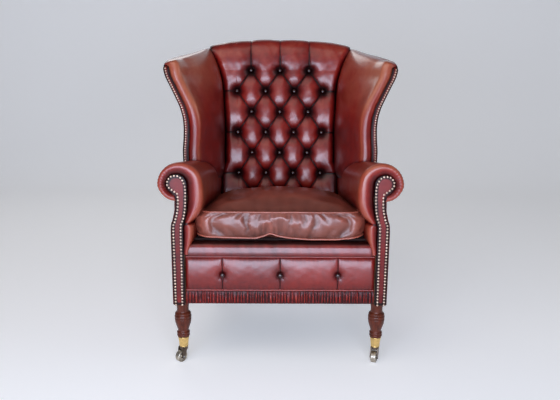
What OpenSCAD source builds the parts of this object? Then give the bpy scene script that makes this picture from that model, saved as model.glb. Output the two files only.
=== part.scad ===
// Buttoned wing chair on castors. A timber frame carries a sprung seat, a
// deep-buttoned back, wings, scroll arms and a loose seat cushion. The chair faces -Y
// and stands on z = 0, midway between its sides and between its front and back.
// Inside the modules y runs from the arm fronts backwards, and seated() shifts it.

/* [Overall] */
// Height from the floor to the top of the back
chair_h = 1130; // [1090:5:1180]
// Depth from the arm fronts to the top of the back
chair_d = 780; // [760:5:820]
// Height of the seat cushion's upper welt
seat_z = 547; // [540:1:556]
// Angle of the back from upright, in degrees
back_rake = 8.5; // [6:0.5:11]

/* [Seat] */
// Front height of the underside of the upholstery
skirt_z = 222; // [214:1:232]
// Top of the seat rails
rail_top_z = 400; // [392:1:404]
// Thickness of the seat rails
rail_t = 25; // [20:1:30]
// Height of the seat platform under the cushion
deck_z = 447; // [440:1:450]
// Radius of the roll along the front edge
front_roll_r = 27; // [24:0.5:28]
// Height of the upper piping of the border
border_top_z = 391; // [386:1:394]
// Height of the lower piping of the border
border_low_z = 271; // [262:1:280]
// Radius of every piping cord
piping_r = 3; // [2:0.5:4]
// Fullness of the border between its pleats
border_crown = 9; // [4:1:12]
// Distance between the pleats of the border
border_pitch = 198; // [180:1:205]

/* [Cushion] */
// Room between the cushion's welts and the arms
cushion_play = 1; // [0:0.5:6]
// Height of the cushion's box border
cushion_border_h = 86; // [78:1:90]
// Rise of the cushion's crown above its upper welt
cushion_crown = 32; // [24:1:50]
// Fall of the cushion's top from front to back
cushion_fall = 24; // [0:1:30]

/* [Back] */
// Depth from the padded back at the seat to the rear of the chair
back_room = 250; // [235:1:270]
// Thickness of the back's stuffing at its crowns
back_pad_t = 70; // [60:1:80]
// Depth of the button pits
pit_depth = 34; // [20:1:40]
// Height of the top row of buttons
top_row_z = 1014; // [990:1:1030]
// Height between two rows of buttons
row_pitch = 84.5; // [80:0.5:88]
// Half the distance between two buttons of the top row
top_half_pitch = 60.5; // [56:0.5:62]
// Half the distance between two buttons of the lowest row
low_half_pitch = 56.5; // [53:0.5:60]
// Radius of the covered buttons
button_r = 8; // [6:0.5:10]

/* [Wings] */
// Half width of the chair at the wing tips
wing_tip_x = 432; // [415:1:450]
// Half width of the chair at the waist of the wings
wing_waist_x = 358; // [350:1:368]
// How far the wings' front edge at the arm stands before the padded back
wing_reach = 268; // [250:1:290]
// Drop from the top of the back to the wing tips
wing_tip_drop = 104; // [90:1:130]
// Thickness of the roll along the wings' front edge
wing_roll_t = 44; // [36:1:50]
// Width of the nailed facing on the wings' front edge
wing_facing_w = 20; // [16:1:24]

/* [Arms] */
// Half width at the outside of the arm panels
arm_out_x = 371; // [368:1:376]
// Distance of each scroll's centre from the middle of the chair
scroll_x = 335; // [333:1:338]
// Height of each scroll's centre at the arm front
scroll_z = 645; // [635:1:655]
// Radius of the scroll
scroll_r = 73; // [68:1:76]
// Fall of the arm per unit of depth
arm_fall_share = 0.13; // [0.08:0.01:0.15]
// Width of the nailed facing on the arm fronts
facing_w = 39; // [36:1:42]
// Thickness of the arm facings
facing_t = 8; // [6:1:10]

/* [Legs and castors] */
// Distance of each front leg's axis from the middle of the chair
leg_x = 341; // [338:1:344]
// Distance of each front leg's axis behind the arm fronts
leg_y = 40; // [36:1:46]
// Largest radius of the turned leg
leg_r = 29.5; // [26:0.5:33]
// Distance of each rear castor before the rear of the chair
rear_foot_in = 140; // [120:1:160]
// Height of the top of the brass cups
cup_top_z = 93; // [88:1:98]
// Radius of the cups at the top
cup_r = 19.5; // [18:0.5:22]
// Radius of the castor wheels
wheel_r = 21; // [19:0.5:21.5]
// Width of the castor wheels
wheel_w = 19; // [16:0.5:20]
// Distance from each castor's swivel to its axle
trail = 13; // [11:0.5:15]
// Angle of the front left castor, in degrees
front_left_turn = 140; // [0:5:355]
// Angle of the front right castor, in degrees
front_right_turn = 160; // [0:5:355]
// Angle of the rear left castor, in degrees
rear_left_turn = 20; // [0:5:355]
// Angle of the rear right castor, in degrees
rear_right_turn = 340; // [0:5:355]

/* [Hidden] */

// Clearances: between soft pieces, of a running fit, and the overrun of every cut
seat_gap = 0.3;
run_gap = 0.05;
over = 2;
// Sides of the round pieces
$fn = 48;

// Colours
leather = "#6a1f1c";
dark_leather = "#3c1412";
timber = "#c8a878";
mahogany = "#4a2115";
brass = "#c9a24e";
bronze = "#3d332b";
steel = "#8f9193";
linen = "#8b7d68";
black_cloth = "#1d1b1a";

// Places that follow from the overall sizes
cover_t = 5;
back_in_y = chair_d - back_room;
wing_front_y = back_in_y - wing_reach;
rear_foot_y = chair_d - rear_foot_in;
wing_tip_z = chair_h - wing_tip_drop;
function lean(z) = (z - seat_z) * tan(back_rake);
function back_face_y(z) = back_in_y + lean(z);
function post_front_y(z) = back_face_y(z) + back_pad_t;
function outside_y(z) = chair_d + (z - chair_h) * tan(back_rake);
function post_rear_y(z) = outside_y(z) - cover_t;

// Blends two values or points by a share from 0 to 1
function blend(a, b, s) = a + (b - a) * s;

// Scroll arm, right side, seen from the front as [x, z] points
tuck_turn = 75;
tuck_share = 0.235;
roll_turns = [-75, -50, -25, 0, 30, 60, 90, 120, 150, 180];
function roll_radius(a) = a < 0 ? scroll_r * (1 + tuck_share * a / tuck_turn) : scroll_r;
belly_x = 74;
belly_z = 92;
belly_drop = 40;
belly_turns = [184, 205, 225, 240];
crease_x = 302;
crease_z = 513;
low_pad_x = 297;
low_pad_in = 14;
low_pad_h = 40;
low_pad_z = 421;
pad_foot_h = 16;
pad_step = 2;
roll_path = [for (a = roll_turns) [scroll_x + roll_radius(a) * cos(a), scroll_z + roll_radius(a) * sin(a)]];
belly_path = [for (a = belly_turns)
    [scroll_x + belly_x * cos(a), scroll_z - belly_drop + belly_z * sin(a)]];
low_path = [
    [crease_x, crease_z],
    [low_pad_x, low_pad_z + 2 * low_pad_h],
    [low_pad_x + pad_step, low_pad_z + low_pad_h],
    [low_pad_x + low_pad_in, low_pad_z],
    [low_pad_x + low_pad_in + pad_step, low_pad_z - pad_foot_h]
];
arm_path = concat(roll_path, belly_path, low_path);

// Core of the arm: the eye of the scroll and the strip that carries it
eye_x = 346;
eye_z = 646;
eye_r = 34;
strip_out_x = arm_out_x - cover_t;
strip_in_x = strip_out_x - facing_w;
waist_shift = 14;
waist_top_z = 590;
waist_low_z = 556;
hip_z = 496;
core_step = 2;
core_rise = 8;
core_eye = [for (a = roll_turns) [eye_x + eye_r * cos(a), eye_z + eye_r * sin(a)]];
core_in = [
    [strip_in_x - waist_shift - core_step, waist_top_z + core_rise],
    [strip_in_x - waist_shift, waist_top_z - eye_r / 2],
    [strip_in_x - waist_shift + core_step, waist_low_z - core_step],
    [strip_in_x - waist_shift / 2, blend(waist_low_z, hip_z, 0.5)],
    [strip_in_x - core_step, crease_z - core_step],
    [strip_in_x, low_pad_z + 2 * low_pad_h],
    [strip_in_x, low_pad_z + low_pad_h],
    [strip_in_x, low_pad_z],
    [strip_in_x, low_pad_z - pad_foot_h]
];
core_path = concat(core_eye, core_in);
core_out = [
    [strip_out_x, skirt_z],
    [strip_out_x, hip_z],
    [strip_out_x - waist_shift / 2, blend(hip_z, waist_low_z, 0.5)],
    [strip_out_x - waist_shift, waist_low_z],
    [strip_out_x - waist_shift - core_step, waist_top_z]
];
core_outline = concat(core_path, [[strip_in_x, skirt_z]], core_out);
panel_path = [
    [arm_out_x - waist_shift - core_step, waist_top_z],
    [arm_out_x - waist_shift, waist_low_z],
    [arm_out_x - waist_shift / 2, blend(hip_z, waist_low_z, 0.5)],
    [arm_out_x, hip_z],
    [arm_out_x, skirt_z]
];

// The arms draw in and fall towards the back
in_draw = 41;
out_draw = 82;
in_taper = in_draw / chair_d;
out_taper = out_draw / chair_d;
arm_wall = arm_out_x - low_pad_x;
function taper_at(x) = blend(in_taper, out_taper, (x - low_pad_x) / arm_wall);
function fall_at(z) = arm_fall_share * min(1, max(0, (z - low_pad_z) / (crease_z - low_pad_z)));
function arm_point(p, y) = [p[0] - taper_at(p[0]) * y, y, p[1] - fall_at(p[1]) * y];
function side_x(y, x) = x - taper_at(x) * y;

// Inner face of the arm at a depth and a height
function arm_inner_x(y, z) = lookup(z, [
    for (i = [len(arm_path) - 1:-1:9]) let (p = arm_point(arm_path[i], y)) [p[2], p[0]]
]);

// A closed band through stations: each station holds an outer and an inner path of as
// many points, and strips close the two ends
function ring_of(outer, inner) = concat(outer, [for (i = [len(inner) - 1:-1:0]) inner[i]]);
function quad(a, b, c, d) = [[a, b, c], [a, c, d]];
function join(lists) = [for (l = lists) for (e = l) e];
module band(rings) {
    count = len(rings[0]);
    half = count / 2;
    last = (len(rings) - 1) * count;
    walls = join([
        for (r = [0:len(rings) - 2]) for (i = [0:count - 1]) let (j = (i + 1) % count)
            quad(r * count + i, r * count + j, (r + 1) * count + j, (r + 1) * count + i)
    ]);
    first_cap = join([
        for (i = [0:half - 2]) quad(i + 1, i, count - 1 - i, count - 2 - i)
    ]);
    last_cap = join([
        for (i = [0:half - 2])
            quad(last + i, last + i + 1, last + count - 2 - i, last + count - 1 - i)
    ]);
    polyhedron(points = join(rings), faces = concat(walls, first_cap, last_cap));
}

// Puts what is drawn from the arm fronts backwards into the chair's own frame
module seated() {
    translate([0, -chair_d / 2, 0]) children();
}

// Draws the right-hand piece as it is, or mirrored for the left
module on_side(side) {
    if (side > 0) seated() children();
    else mirror([1, 0, 0]) seated() children();
}

// An outline of [y, z] points given a width along x
module side_slab(x, w, outline) {
    translate([x, 0, 0]) rotate([90, 0, 90]) linear_extrude(w) polygon(outline);
}

// Frame

rail_h = rail_top_z - skirt_z;
rail_front_y = 30;
post_in_x = 255;
post_w = 40;
post_drop = 45;
post_top_z = chair_h - post_drop;
crest_h = 55;
crest_low_z = post_top_z - crest_h;

module front_rail() {
    color(timber) seated() translate([-strip_in_x + seat_gap, rail_front_y, skirt_z])
        cube([2 * strip_in_x - 2 * seat_gap, rail_t, rail_h]);
}

module rear_rail() {
    z0 = skirt_z;
    z1 = rail_top_z;
    color(timber) seated() side_slab(-post_in_x, 2 * post_in_x, [
        [post_front_y(z0), z0], [post_front_y(z0) + rail_t, z0],
        [post_front_y(z1) + rail_t, z1], [post_front_y(z1), z1]
    ]);
}

stump_t = 30;
stump_y = facing_t + 2 * over;
stump_rear_y = stump_y + stump_t;
side_rail_x = arm_out_x - cover_t - seat_gap;

module side_rail(side) {
    y0 = stump_rear_y;
    y1 = post_front_y(skirt_z);
    color(timber) difference() {
        on_side(side) translate([0, 0, skirt_z]) linear_extrude(rail_h) polygon([
            [side_x(y0, side_rail_x), y0], [side_x(y1 + rail_t, side_rail_x), y1 + rail_t],
            [side_x(y1 + rail_t, side_rail_x) - rail_t, y1 + rail_t],
            [side_x(y0, side_rail_x) - rail_t, y0]
        ]);
        post_form(side);
    }
}

block_l = 60;
block_h = 40;
module corner_blocks() {
    x1 = side_x(rail_front_y + rail_t + block_l, side_rail_x) - rail_t - seat_gap;
    y1 = rail_front_y + rail_t;
    y2 = post_front_y(skirt_z) - seat_gap;
    color(timber) for (side = [-1, 1]) on_side(side) {
        translate([0, 0, rail_top_z - rail_h / 2]) linear_extrude(block_h)
            polygon([[x1, y1], [x1, y1 + block_l], [x1 - block_l, y1]]);
        translate([0, 0, skirt_z]) linear_extrude(block_h)
            polygon([[post_in_x, y2], [post_in_x - block_l, y2], [post_in_x, y2 - block_l]]);
    }
}

// Back post and rear leg in one length of timber, tapering to the castor cup
foot_half = 18;
module post_form(side) {
    top_y = post_front_y(post_top_z);
    on_side(side) side_slab(post_in_x, post_w, [
        [post_front_y(skirt_z), skirt_z], [top_y, post_top_z],
        [post_rear_y(post_top_z), post_top_z], [post_rear_y(skirt_z), skirt_z],
        [rear_foot_y + foot_half, cup_top_z], [rear_foot_y - foot_half, cup_top_z]
    ]);
}

rear_foot_x = post_in_x + post_w / 2;
module back_post(side) {
    color(timber) {
        post_form(side);
        on_side(side) translate([rear_foot_x, rear_foot_y, 0]) leg_spigot();
    }
}

module crest_rail() {
    z0 = crest_low_z;
    z1 = post_top_z;
    color(timber) seated() side_slab(-post_in_x, 2 * post_in_x, [
        [post_front_y(z0), z0], [post_rear_y(z0), z0],
        [post_rear_y(z1), z1], [post_front_y(z1), z1]
    ]);
}

// Front upright of the arm, cut to the scroll
module arm_stump(side) {
    color(timber) difference() {
        stump_form(side);
        arm_outside_form(side);
    }
}
stump_draw = out_taper * stump_rear_y;
stump_outline = concat(core_path, [[strip_in_x, skirt_z]], [for (p = core_out) p - [stump_draw, 0]]);
module stump_form(side) {
    on_side(side) translate([0, stump_rear_y, 0]) rotate([90, 0, 0])
        linear_extrude(stump_t) drawn_in(stump_outline);
}

// An outline of the core, drawn in by the clearance at its sides
module drawn_in(outline) {
    polygon([for (p = outline)
        [blend(p[0], eye_x, seat_gap / eye_r), min(p[1], eye_z + eye_r - seat_gap)]]);
}

rail_r = 28;
rail_y1 = post_front_y(scroll_z);
module arm_rail_form() {
    a = arm_point([eye_x, eye_z], stump_rear_y);
    b = arm_point([eye_x, eye_z], rail_y1);
    run = b - a;
    flat = norm([run[0], run[1]]);
    translate(a) rotate([0, 0, atan(-run[0] / run[1])]) rotate([-90 + atan(run[2] / flat), 0, 0])
        cylinder(h = norm(run), r = rail_r);
}

module arm_rail(side) {
    color(timber) difference() {
        on_side(side) arm_rail_form();
        post_form(side);
        on_side(side) translate([0, stump_rear_y - arm_wall, eye_z - arm_wall])
            cube([2 * eye_x, arm_wall, 2 * arm_wall]);
    }
}

// Wings, right side

wing_top_share = [[0, 0], [0.1, 0.3], [0.3, 0.5], [0.6, 0.72], [0.85, 0.93], [1, 1]];
seam_drop = 28;
seam_top_z = chair_h - seam_drop;
wing_low_z = 600;
function wing_top_z(t) = blend(wing_tip_z, seam_top_z, lookup(t, wing_top_share));
wing_edge_share = [
    [0, 0.03], [0.13, 0.05], [0.27, 0.01], [0.36, 0], [0.45, 0.03], [0.58, 0.18],
    [0.68, 0.39], [0.8, 0.66], [0.92, 0.92], [1, 1]
];
wing_base_z = 675;
function wing_rise(z) = (z - wing_base_z) / (wing_tip_z - wing_base_z);
function wing_x(z) = blend(wing_waist_x, wing_tip_x, lookup(wing_rise(z), wing_edge_share));
wing_sweep = 38;
sweep_share = [[0, 0], [0.5, 0.6], [1, 1]];
function wing_y(z) = wing_front_y + wing_sweep * lookup(wing_rise(z), sweep_share);
seam_low_x = 231;
seam_spread = 62;
seam_share = [[0, 0], [0.5, 0], [0.65, 0.08], [0.78, 0.18], [0.84, 0.32], [0.92, 0.6], [1, 1]];
seam_base_z = 460;
function seam_rise(z) = (z - seam_base_z) / (seam_top_z - seam_base_z);
function seam_x(z) = seam_low_x + seam_spread * lookup(seam_rise(z), seam_share);

wing_pad_t = 30;
wing_bulge = 12;
roll_half = wing_roll_t / 2;
edge_steps = [10, -25, -60, -95, -130, -165];
face_shares = [0.12, 0.28, 0.44, 0.6, 0.75, 0.88, 1];
function roll_centre(z) = [wing_x(z) - wing_facing_w - roll_half, wing_y(z) + roll_half];
function wing_face(z, s) =
    let (a = roll_centre(z) + [-roll_half, roll_half / 2])
    let (b = [seam_x(z) + seat_gap, back_face_y(z)])
    blend(a, b, s) + [-wing_bulge * sin(180 * s), 0];
function wing_outer(z) = concat(
    [for (a = edge_steps) roll_centre(z) + roll_half * [cos(a), sin(a)]],
    [for (s = face_shares) wing_face(z, s)]
);
function wing_inner(z) =
    let (c = roll_centre(z) + [0, roll_half + wing_pad_t / 3])
    let (e = [seam_x(z) + wing_pad_t, back_face_y(z) + wing_pad_t])
    concat(
        [for (i = [0:len(edge_steps) - 1])
            c + [blend(roll_half, -roll_half / 3, i / (len(edge_steps) - 1)), 0]],
        [for (s = face_shares) blend(c + [-roll_half / 3, 0], e, s) + [-wing_bulge * sin(180 * s), 0]]
    );
wing_row_shares = [0, 0.12, 0.24, 0.36, 0.48, 0.58, 0.68, 0.77, 0.85, 0.92, 0.97, 1];
wing_stations = len(edge_steps) + len(face_shares);
function wing_depth_share(i) = i < len(edge_steps) ? 0 : face_shares[i - len(edge_steps)];
function wing_row_z(i, s) = blend(wing_low_z, wing_top_z(wing_depth_share(i)), s);
top_draw_share = 0.3;
function wing_ring(i) = ring_of(
    [for (s = wing_row_shares)
        let (z = wing_row_z(i, s)) let (p = wing_outer(z)[i]) let (q = wing_inner(z)[i])
        concat(blend(p, q, s == 1 ? top_draw_share : 0), [z])],
    [for (s = wing_row_shares) let (z = wing_row_z(i, s)) concat(wing_inner(z)[i], [z])]
);

module wing_pad(side) {
    color(leather) difference() {
        on_side(side) band([for (i = [wing_stations - 1:-1:0]) wing_ring(i)]);
        on_side(side) arm_solid(seat_gap);
        wing_frame_form(side);
    }
}

upright_d = 38;
upright_w = 34;
function upright_ring(z) =
    let (c = roll_centre(z) + [0, roll_half + wing_pad_t / 3 + seat_gap])
    let (x1 = c[0] + roll_half / 2)
    let (x0 = x1 - upright_w) let (y1 = c[1] + upright_d)
    [[x0, y1, z], [x1, y1, z], [x1, c[1], z], [x0, c[1], z]];
upright_rows = [for (s = wing_row_shares) if (s < 1) blend(eye_z, wing_tip_z, s)];

module wing_frame_form(side) {
    ring = upright_ring(upright_rows[len(upright_rows) - 1]);
    top_z = upright_rows[len(upright_rows) - 1];
    on_side(side) {
        band([for (z = upright_rows) upright_ring(z)]);
        hull() {
            translate(ring[0] - [0, over, rail_t]) cube([upright_w, over, rail_t]);
            translate([post_in_x + post_w / 2, post_front_y(top_z) - over, top_z - rail_t])
                cube([post_w / 2, over, 2 * rail_t]);
        }
    }
}

module wing_frame(side) {
    color(timber) difference() {
        wing_frame_form(side);
        on_side(side) arm_rail_form();
        post_form(side);
    }
}

wing_back_x = 305;
function wing_skin(z, s) =
    blend([wing_x(z), wing_y(z) + facing_t], [wing_back_x, outside_y(z) - cover_t], s);
wing_depth = outside_y(wing_tip_z) - cover_t - wing_y(wing_tip_z) - facing_t;
cap_share = (wing_roll_t + wing_pad_t / 3 - facing_t + 2 * seat_gap) / wing_depth;
step_share = 0.01;
skin_shares = [0.28, 0.44, 0.6, 0.75, 0.88, 1];
lip = 1;

// One station of the outside: up the skin, then over the wing's top rail to the padded face.
// b is the inner end of the cover as [x, y]
function skin_ring(s, b) =
    let (top = wing_top_z(s))
    ring_of(
        concat(
            [for (r = wing_row_shares) let (z = blend(wing_low_z, top, r)) concat(wing_skin(z, s), [z])],
            [concat(b, [top])]
        ),
        concat(
            [for (r = wing_row_shares)
                let (z = blend(wing_low_z, top - cover_t, r)) concat(wing_skin(z, s) - [cover_t, 0], [z])],
            [concat(b, [top - cover_t])]
        )
    );
function lip_ring(s) = skin_ring(s, wing_skin(wing_top_z(s), s) - [cover_t + lip, 0]);
function cover_ring(s) =
    let (i = search(s, face_shares)[0])
    skin_ring(s, wing_inner(wing_top_z(s))[len(edge_steps) + i] + [seat_gap, seat_gap]);
first_cover = wing_inner(wing_tip_z)[len(edge_steps) - 1] + [seat_gap, 2 * seat_gap];
module wing_outside(side) {
    color(leather) difference() {
        on_side(side) band(concat(
            [lip_ring(0), lip_ring(cap_share), skin_ring(cap_share + step_share, first_cover)],
            [for (s = skin_shares) cover_ring(s)]
        ));
        on_side(side) arm_solid(seat_gap);
        wing_frame_form(side);
    }
}

facing_rows = [for (s = wing_row_shares) blend(wing_base_z, wing_tip_z, s)];
function facing_ring(z) = let (x = wing_x(z)) let (y = wing_y(z))
    let (x0 = x - wing_facing_w + seat_gap)
    [[x0, y + facing_t - seat_gap, z], [x, y + facing_t - seat_gap, z], [x, y, z], [x0, y, z]];

module wing_facing(side) {
    color(dark_leather) difference() {
        on_side(side) band([for (z = facing_rows) facing_ring(z)]);
        on_side(side) arm_solid(seat_gap);
    }
}

// Arm upholstery

// The front edge of the roll, from the facing round to its side: [depth share of the
// edge, draw-in share, depth share of the core]
edge_depth = 18;
front_shares = [[0.78, 0.96, 0.78], [0.17, 0.6, 0.83], [0, 0.4, 0.88], [0.33, 0.14, 0.93], [1, 0, 1]];
// Depth at which a point of the arm meets the leaning outside back
function arm_rear(p) = (outside_y(p[1]) - cover_t - seat_gap) / (1 + fall_at(p[1]) * tan(back_rake));
depth_shares = [0.2, 0.4, 0.6, 0.8, 1];
function arm_station(y, s, core_y) = ring_of(
    [for (i = [0:len(arm_path) - 1]) arm_point(blend(arm_path[i], core_path[i], s), y)],
    [for (p = core_path) arm_point(p, core_y)]
);
module arm_band() {
    band(concat(
        [for (f = front_shares) arm_station(edge_depth * f[0], f[1], edge_depth * f[2])],
        [for (s = depth_shares) ring_of(
            [for (p = arm_path) arm_point(p, arm_rear(p) * s)],
            [for (p = core_path) arm_point(p, arm_rear(p) * s)]
        )]
    ));
}

// The whole roll with its core, grown by a clearance
module arm_solid(grow) {
    k = 1 + grow / scroll_r;
    outline = [for (p = roll_path) [scroll_x, scroll_z] + (p - [scroll_x, scroll_z]) * k];
    path = concat(outline, [for (p = belly_path) p - [grow, 0]]);
    n = len(path);
    stops = concat([0], depth_shares);
    rings = [for (s = stops) [for (p = path) arm_point(p, arm_rear(p) * s)]];
    last = (len(stops) - 1) * n;
    hub = len(stops) * n;
    middle = [scroll_x, scroll_z - belly_drop];
    polyhedron(
        points = concat(join(rings), [arm_point(middle, 0), arm_point(middle, arm_rear(middle))]),
        faces = concat(
            join([for (r = [0:len(rings) - 2]) for (i = [0:n - 1]) let (j = (i + 1) % n)
                quad(r * n + i, r * n + j, (r + 1) * n + j, (r + 1) * n + i)]),
            [for (i = [0:n - 1]) [hub, (i + 1) % n, i]],
            [for (i = [0:n - 1]) [hub + 1, last + i, last + (i + 1) % n]]
        )
    );
}

module arm_pad(side) {
    color(leather) difference() {
        on_side(side) arm_band();
        post_form(side);
        wing_frame_form(side);
        stump_form(side);
        facing_form(side);
        on_side(side) arm_rail_form();
        on_side(side) roll_form(seat_gap);
    }
}

panel_shares = [1, 0.6, 0.3, 0];
module arm_outside_form(side) {
    inner = [for (p = panel_path) p - [cover_t, 0]];
    on_side(side) band([
        for (s = panel_shares) ring_of(
            [for (p = panel_path) arm_point(p, max(stump_y, arm_rear(p) * s))],
            [for (p = inner) arm_point(p, max(stump_y, arm_rear(p) * s))]
        )
    ]);
}

module arm_outside(side) {
    color(leather) difference() {
        arm_outside_form(side);
        post_form(side);
    }
}

module facing_form(side) {
    on_side(side) translate([0, stump_y - seat_gap, 0]) rotate([90, 0, 0])
        linear_extrude(facing_t - seat_gap) drawn_in(core_outline);
}
module arm_facing(side) {
    color(dark_leather) facing_form(side);
}

// Seat front

roll_y = 28;
roll_z = deck_z - front_roll_r - over;
roll_half_w = strip_in_x - 2 * seat_gap;
roll_taper = 26;
module roll_form(grow) {
    r = front_roll_r + grow;
    translate([0, roll_y, roll_z]) rotate([0, 90, 0]) rotate_extrude() polygon([
        [0, -roll_half_w], [r / 2, -roll_half_w], [r, -roll_half_w + roll_taper],
        [r, roll_half_w - roll_taper], [r / 2, roll_half_w], [0, roll_half_w]
    ]);
}

module front_roll() {
    color(leather) difference() {
        seated() roll_form(0);
        front_rail();
        seated() translate([-roll_half_w, rail_front_y, 0])
            cube([2 * roll_half_w, rail_t + over, rail_top_z + 2 * spring_r + seat_gap]);
        seated() translate([-roll_half_w - over, -over, 0])
            cube([2 * roll_half_w + 2 * over, 2 * roll_y, border_top_z + piping_r + seat_gap]);
    }
}

// Border: a flat-backed panel with full channels between pleats and buttoned pits
border_face_y = 16;
border_half_w = roll_half_w;
border_cols = 36;
border_shares = [0, 0.15, 0.3, 0.42, 0.5, 0.58, 0.7, 0.85, 1];
pleat_share = 0.35;
border_button_share = 0.47;
border_button_z = blend(border_low_z, border_top_z, border_button_share);
function channel(x) = abs(sin(180 * x / border_pitch));
function border_bulge(x, z) =
    let (e = min(1, (border_half_w - abs(x)) / border_face_y))
    let (r = norm([(abs(x) < border_pitch / 2 ? x : abs(x) - border_pitch), z - border_button_z]))
    let (pit = 1 - exp(-r * r / (border_face_y * border_face_y)))
    border_crown * e * (pleat_share * pit + (1 - pleat_share) * sqrt(channel(x)));
border_low = border_low_z + piping_r + seat_gap;
border_high = border_top_z - piping_r - seat_gap;
function border_x(i) = blend(-border_half_w, border_half_w, i / border_cols);
module front_border() {
    rows = len(border_shares);
    rings = [for (i = [0:border_cols]) ring_of(
        [for (s = border_shares) let (z = blend(border_low, border_high, s)) let (x = border_x(i))
            [x, border_face_y - (s == 0 || s == 1 ? 0 : border_bulge(x, z)), z]],
        [for (s = border_shares) [border_x(i), rail_front_y, blend(border_low, border_high, s)]]
    )];
    color(leather) seated() band(rings);
}

// A flat-backed dome whose edge meets its back at half a right angle
button_sides = 12;
dome_turns = [45, 32, 17];
module button(r) {
    n = button_sides;
    ball = r / sin(dome_turns[0]);
    rings = [for (t = dome_turns) for (i = [0:n - 1]) let (a = 360 * i / n)
        [ball * sin(t) * sin(a), ball * (cos(dome_turns[0]) - cos(t)), ball * sin(t) * cos(a)]];
    last = (len(dome_turns) - 1) * n;
    polyhedron(
        points = concat(rings, [[0, 0, 0], [0, ball * (cos(dome_turns[0]) - 1), 0]]),
        faces = concat(
            join([for (k = [0:len(dome_turns) - 2]) for (i = [0:n - 1]) let (j = (i + 1) % n)
                quad(k * n + i, k * n + j, (k + 1) * n + j, (k + 1) * n + i)]),
            [for (i = [0:n - 1]) [len(rings), (i + 1) % n, i]],
            [for (i = [0:n - 1]) [len(rings) + 1, last + i, last + (i + 1) % n]]
        )
    );
}

button_lift = 3.5;
module border_buttons() {
    color(dark_leather) seated() for (i = [-1:1])
        translate([i * border_pitch, border_face_y - button_lift, border_button_z]) button(button_r);
}

module border_piping() {
    color(leather) seated() for (z = [border_low_z, border_top_z])
        translate([-border_half_w, rail_front_y - piping_r - seat_gap, z]) rotate([0, 90, 0])
            cylinder(h = 2 * border_half_w, r = piping_r, $fn = 24);
}

gathers = 62;
gather_steps = 4;
ruche_depth = 2.2;
ruche_y = 18;
module ruched_band() {
    steps = gather_steps * gathers;
    color(leather) seated() translate([0, 0, skirt_z])
        linear_extrude(border_low_z - piping_r - seat_gap - skirt_z) polygon(concat(
            [for (i = [0:steps]) [
                blend(-border_half_w, border_half_w, i / steps),
                ruche_y + ruche_depth * cos(360 * i / gather_steps)
            ]],
            [[border_half_w, rail_front_y], [-border_half_w, rail_front_y]]
        ));
}

// Seat inside

module seat_platform() {
    h = deck_z - seat_gap - rail_top_z - 2 * spring_r - seat_gap;
    y0 = roll_y + front_roll_r + seat_gap;
    y1 = back_face_y(rail_top_z) - over;
    right = [for (s = [0:0.25:1]) let (y = blend(y0, y1, s)) [arm_inner_x(y, deck_z) - 2 * over, y]];
    left = [for (i = [len(right) - 1:-1:0]) [-right[i][0], right[i][1]]];
    color(linen) seated() translate([0, 0, rail_top_z + 2 * spring_r + seat_gap]) linear_extrude(h)
        polygon(concat(right, left));
}

// Flat zigzag springs of square wire, hooked over the front and rear rails
spring_r = 2;
spring_loop_r = 13;
spring_bar = 24;
spring_pitch = 105;
springs = 5;
module half_loop() {
    difference() {
        circle(r = spring_loop_r + spring_r);
        circle(r = spring_loop_r - spring_r);
        translate([-2 * spring_loop_r, -2 * spring_loop_r]) square([2 * spring_loop_r, 4 * spring_loop_r]);
    }
}
module zigzag(run) {
    turns = floor(run / (2 * spring_loop_r));
    linear_extrude(2 * spring_r) union() {
        for (i = [0:turns - 1]) translate([0, (2 * i + 1) * spring_loop_r])
            mirror([i % 2, 0]) translate([spring_bar / 2, 0]) half_loop();
        for (i = [0:turns]) translate([-spring_bar / 2 - over / 2, 2 * i * spring_loop_r - spring_r])
            square([spring_bar + over, 2 * spring_r]);
    }
}

module seat_springs() {
    y0 = rail_front_y + rail_t / 2;
    run = post_front_y(rail_top_z) + rail_t / 2 - y0;
    color(steel) seated() for (i = [0:springs - 1])
        translate([(i - (springs - 1) / 2) * spring_pitch, y0, rail_top_z]) zigzag(run);
}

module dust_cover() {
    y0 = rail_front_y;
    y1 = post_front_y(skirt_z) + rail_t;
    x1 = post_in_x - cover_t - over;
    color(black_cloth) seated() translate([0, 0, skirt_z - over]) linear_extrude(over)
        difference() {
            polygon([[-strip_in_x + over, y0], [strip_in_x - over, y0], [x1, y1], [-x1, y1]]);
            for (side = [-1, 1]) translate([side * leg_x, leg_y]) circle(r = leg_r);
        }
}

// Deep-buttoned back. u counts half pitches across, v counts rows down from the top
last_row = 6;
function half_pitch(v) = blend(top_half_pitch, low_half_pitch, v / last_row);
function row_z(v) = top_row_z - v * row_pitch;
buttons = [for (v = [0:last_row]) for (u = (v % 2 == 0) ? [-2, 0, 2] : [-3, -1, 1, 3]) [u, v]];
function to_nearest(x) = abs(x - round(x));
pit_spread = 2.2;
function pit_share(u, v) =
    let (d = min([for (b = buttons) norm([(u - b[0]) * top_half_pitch, (v - b[1]) * row_pitch])]))
    1 - exp(-d * d / (pit_spread * pit_depth * button_r));
function across(u) = sin(180 * to_nearest(u / 2));
function along(v) = sin(180 * to_nearest((v - 1) / 2));
function diamond(u, v) = sqrt(sin(180 * to_nearest((u + v) / 2)) * sin(180 * to_nearest((u - v) / 2)));
function fold(u, v) =
    (v < 0 || v > last_row) ? (abs(u) > 3 ? 1 : across(u)) :
    abs(u) > 3 ? along(v) : diamond(u, v);
crown_share = 0.35;
function tuft(u, v) = crown_share * pit_share(u, v) + (1 - crown_share) * fold(u, v);

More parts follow.
